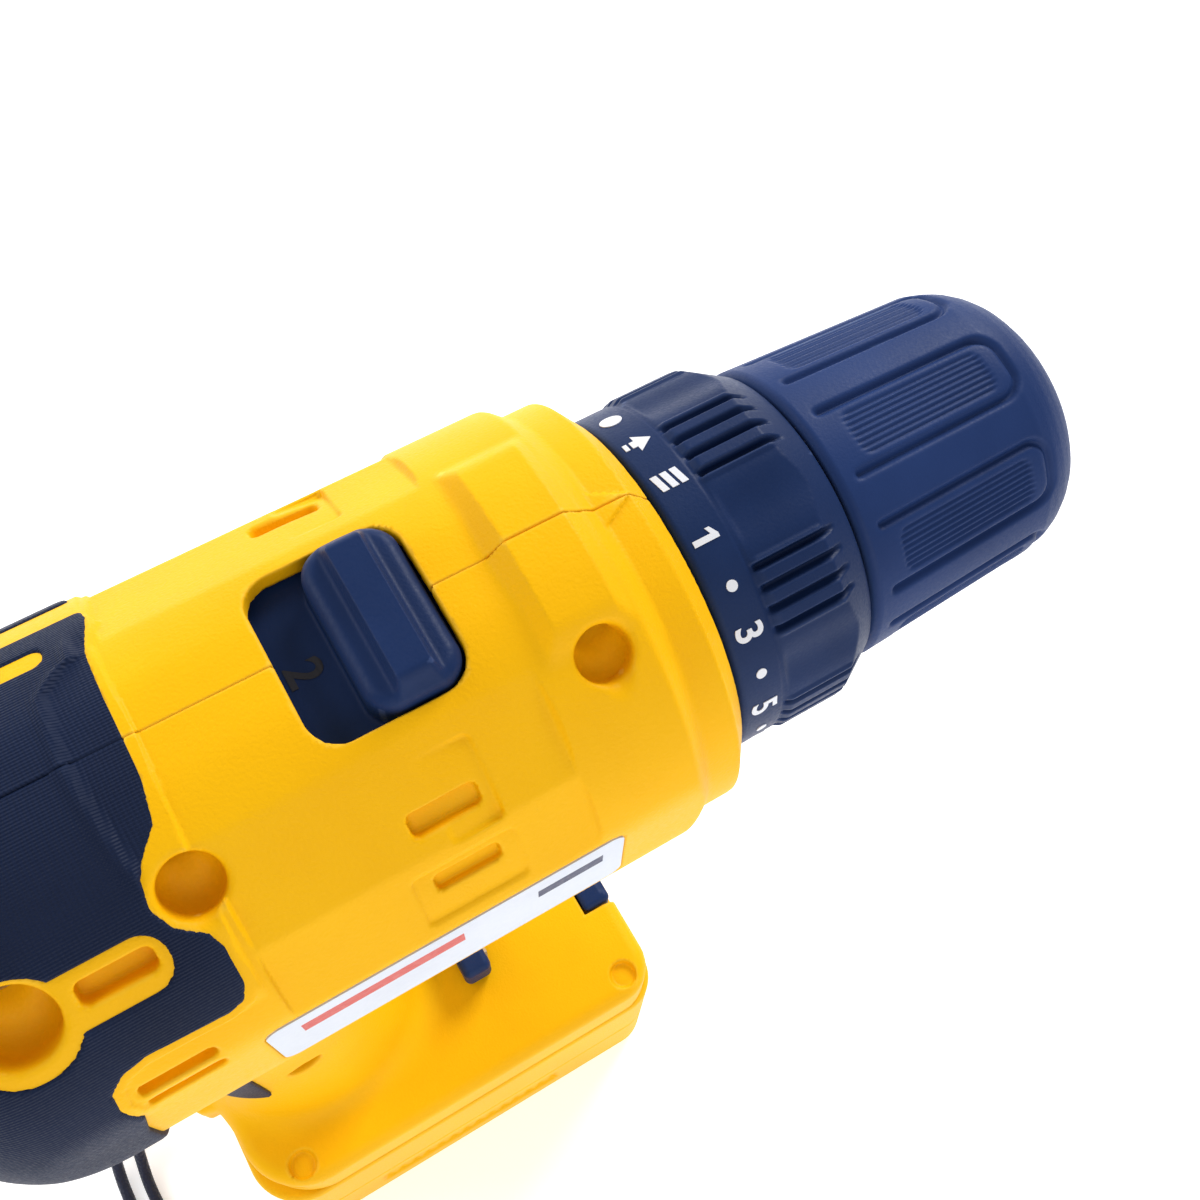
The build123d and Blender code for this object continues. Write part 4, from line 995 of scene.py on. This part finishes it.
def trigger(x, y, z):
    """Finger-shaped face with fine grip lines, hollow behind."""
    d = rounded(outline(x, z, TRIGGER_FACE), np.abs(y) - TRIGGER_Y, 1.8)
    d = d + waves(z + 52, 2.4, 0.3) * ease(x, -50, -48) * (1 - ease(np.abs(z + 52), 8, 9.5))
    return np.maximum(d, -block(x, y, z, -60, -50, -5.5, 5.5, -60, -44, 0.5))


def lever(x, y, z):
    """Direction bar with upright ribs on both push faces."""
    d = block(x, y, z, LEVER_X0, LEVER_X1, -LEVER_Y, LEVER_Y, LEVER_Z0, LEVER_Z1, 1.2)
    middle = (LEVER_X0 + LEVER_X1) / 2
    return d + waves(x - middle, 1.5, 0.35) * ease(np.abs(y), LEVER_Y - 1.2, LEVER_Y - 0.4)


def latch(x, y, z):
    """Release button with finger ribs on its front, and the tongue below it."""
    pad = block(x, y, z, LATCH_X0, LATCH_X1, -LATCH_Y, LATCH_Y, -131, LATCH_TOP, 1.2)
    inside = 1 - ease(np.abs(y), LATCH_Y - 2.5, LATCH_Y - 1.5)
    pad = pad + waves(z + 124, 2.2, 0.45) * ease(x, -8, -7) * inside
    tongue = block(x, y, z, LATCH_X0 + 0.6, LATCH_X1 - 0.6, -LATCH_Y + 0.4, LATCH_Y - 0.4, -137, -130, 0.3)
    return soft_min(pad, tongue, 0.4)


def light_case(x, y, z):
    """Rounded case of the work light, with a stepped window for the lens."""
    d = block(x, y, z, LIGHT_X0, LIGHT_X1, -LIGHT_Y, LIGHT_Y, FOOT_TOP, LIGHT_TOP, 1.4)
    step = block(x, y, z, LIGHT_X1 - 0.5, 0, -LENS_Y - 0.7, LENS_Y + 0.7, LENS_Z0 - 0.4, LENS_Z1 + 0.5, 0.3)
    window = block(x, y, z, LENS_X0, 0, -LENS_Y, LENS_Y, LENS_Z0, LENS_Z1, 0.1)
    return soft_max(np.maximum(d, -window), -step, 0.2)


def build_small_pieces():
    piece = moulded_piece("trigger_blade", trigger, planes((-59, -42.6, 0.35)), planes((-9, 9, 0.35)),
                          planes((-67, -37.5, 0.35)))
    dress(piece, "trigger", "navy_plastic", "trigger")
    piece = moulded_piece("lever_bar", lever, planes((-74, -65, 0.25)), planes((-22.8, 22.8, 0.3)),
                          planes((-37.4, -30.6, 0.3)))
    dress(piece, "lever", "navy_plastic", "direction_lever")
    piece = moulded_piece("latch_pad", latch, planes((-13.2, -5.2, 0.3)), planes((-11.8, 11.8, 0.4)),
                          planes((-138, -116.6, 0.3)))
    dress(piece, "latch", "navy_plastic", "latch_button")
    piece = moulded_piece("light_case", light_case, planes((-41.2, -33.4, 0.3)), planes((-13.2, 13.2, 0.4)),
                          planes((-119, -109, 0.3)))
    dress(piece, "housing", "navy_plastic", "light_housing")


# ---- finishes of the CAD nodes that stay ---------------------------------------------------
def dress_cad():
    slots = {part["node"]: part["material_slot"] for part in frame["record"]["subparts"]}
    for node, obj in frame["nodes"].items():
        for place in obj.material_slots:
            place.material = MATERIALS[slots[node]]


# ---- stage, lights and camera --------------------------------------------------------------
CAMERA_PLACE = (-50.297, -67.192, 170.628)           # in the drill frame
CAMERA_TURN = (25.7434, -1.4319, -30.4218)           # degrees
CAMERA_LENS, SENSOR = 42.206, 36.0
WORLD_STRENGTH, FLOOR_GLOW, FLOOR_SIZE = 0.40, 0.45, 6
LIGHTS_AIM = (0, 0, 0.12)
# soft lights: name, place and size in metres, power in watts
LIGHTS = (("key", (0.75, 0.5, 0.7), 0.45, 9.8), ("fill", (-0.1, -0.9, 0.45), 1.0, 5.5),
          ("back", (-0.7, 0.5, 0.7), 0.6, 4), ("rim", (0.0, 1.15, 0.35), 1.0, 5))


def area_light(name, place, size, power):
    light = bpy.data.lights.new(name, "AREA")
    light.size, light.energy = size, power
    obj = bpy.data.objects.new(name, light)
    obj.location = place
    aim = Vector(LIGHTS_AIM) - Vector(place)
    obj.rotation_euler = aim.to_track_quat("-Z", "Y").to_euler()
    bpy.context.scene.collection.objects.link(obj)


def build_stage():
    bpy.ops.mesh.primitive_plane_add(size=FLOOR_SIZE, location=(0, 0, CAD_BOX[0].z - 0.0002))
    floor = bpy.context.object
    floor.name = "floor"
    m = bpy.data.materials.new("floor")
    m.use_nodes = True
    surface = m.node_tree.nodes["Principled BSDF"]
    surface.inputs["Base Color"].default_value = (0.93, 0.93, 0.94, 1)
    surface.inputs["Roughness"].default_value = 0.9
    surface.inputs["Emission Color"].default_value = (1, 1, 1, 1)
    surface.inputs["Emission Strength"].default_value = FLOOR_GLOW
    floor.data.materials.append(m)
    world = bpy.data.worlds.new("studio")
    world.use_nodes = True
    world.node_tree.nodes["Background"].inputs["Color"].default_value = (1, 1, 1, 1)
    world.node_tree.nodes["Background"].inputs["Strength"].default_value = WORLD_STRENGTH
    bpy.context.scene.world = world
    bpy.context.scene.view_settings.view_transform = "Standard"
    for light in LIGHTS:
        area_light(*light)


def build_camera():
    camera = bpy.data.cameras.new("camera")
    camera.sensor_width, camera.lens = SENSOR, CAMERA_LENS
    camera.clip_start = 0.01
    obj = bpy.data.objects.new("camera", camera)
    obj.location = Vector(np.array(CAMERA_PLACE) * MM + ORIGIN)
    obj.rotation_euler = Euler([math.radians(a) for a in CAMERA_TURN], "XYZ")
    bpy.context.scene.collection.objects.link(obj)
    bpy.context.scene.camera = obj


build_camera()
build_strap()
build_stage()
dress_cad()
build_collar()
build_sleeve()
build_selector()
build_battery()
build_small_pieces()
build_housing()
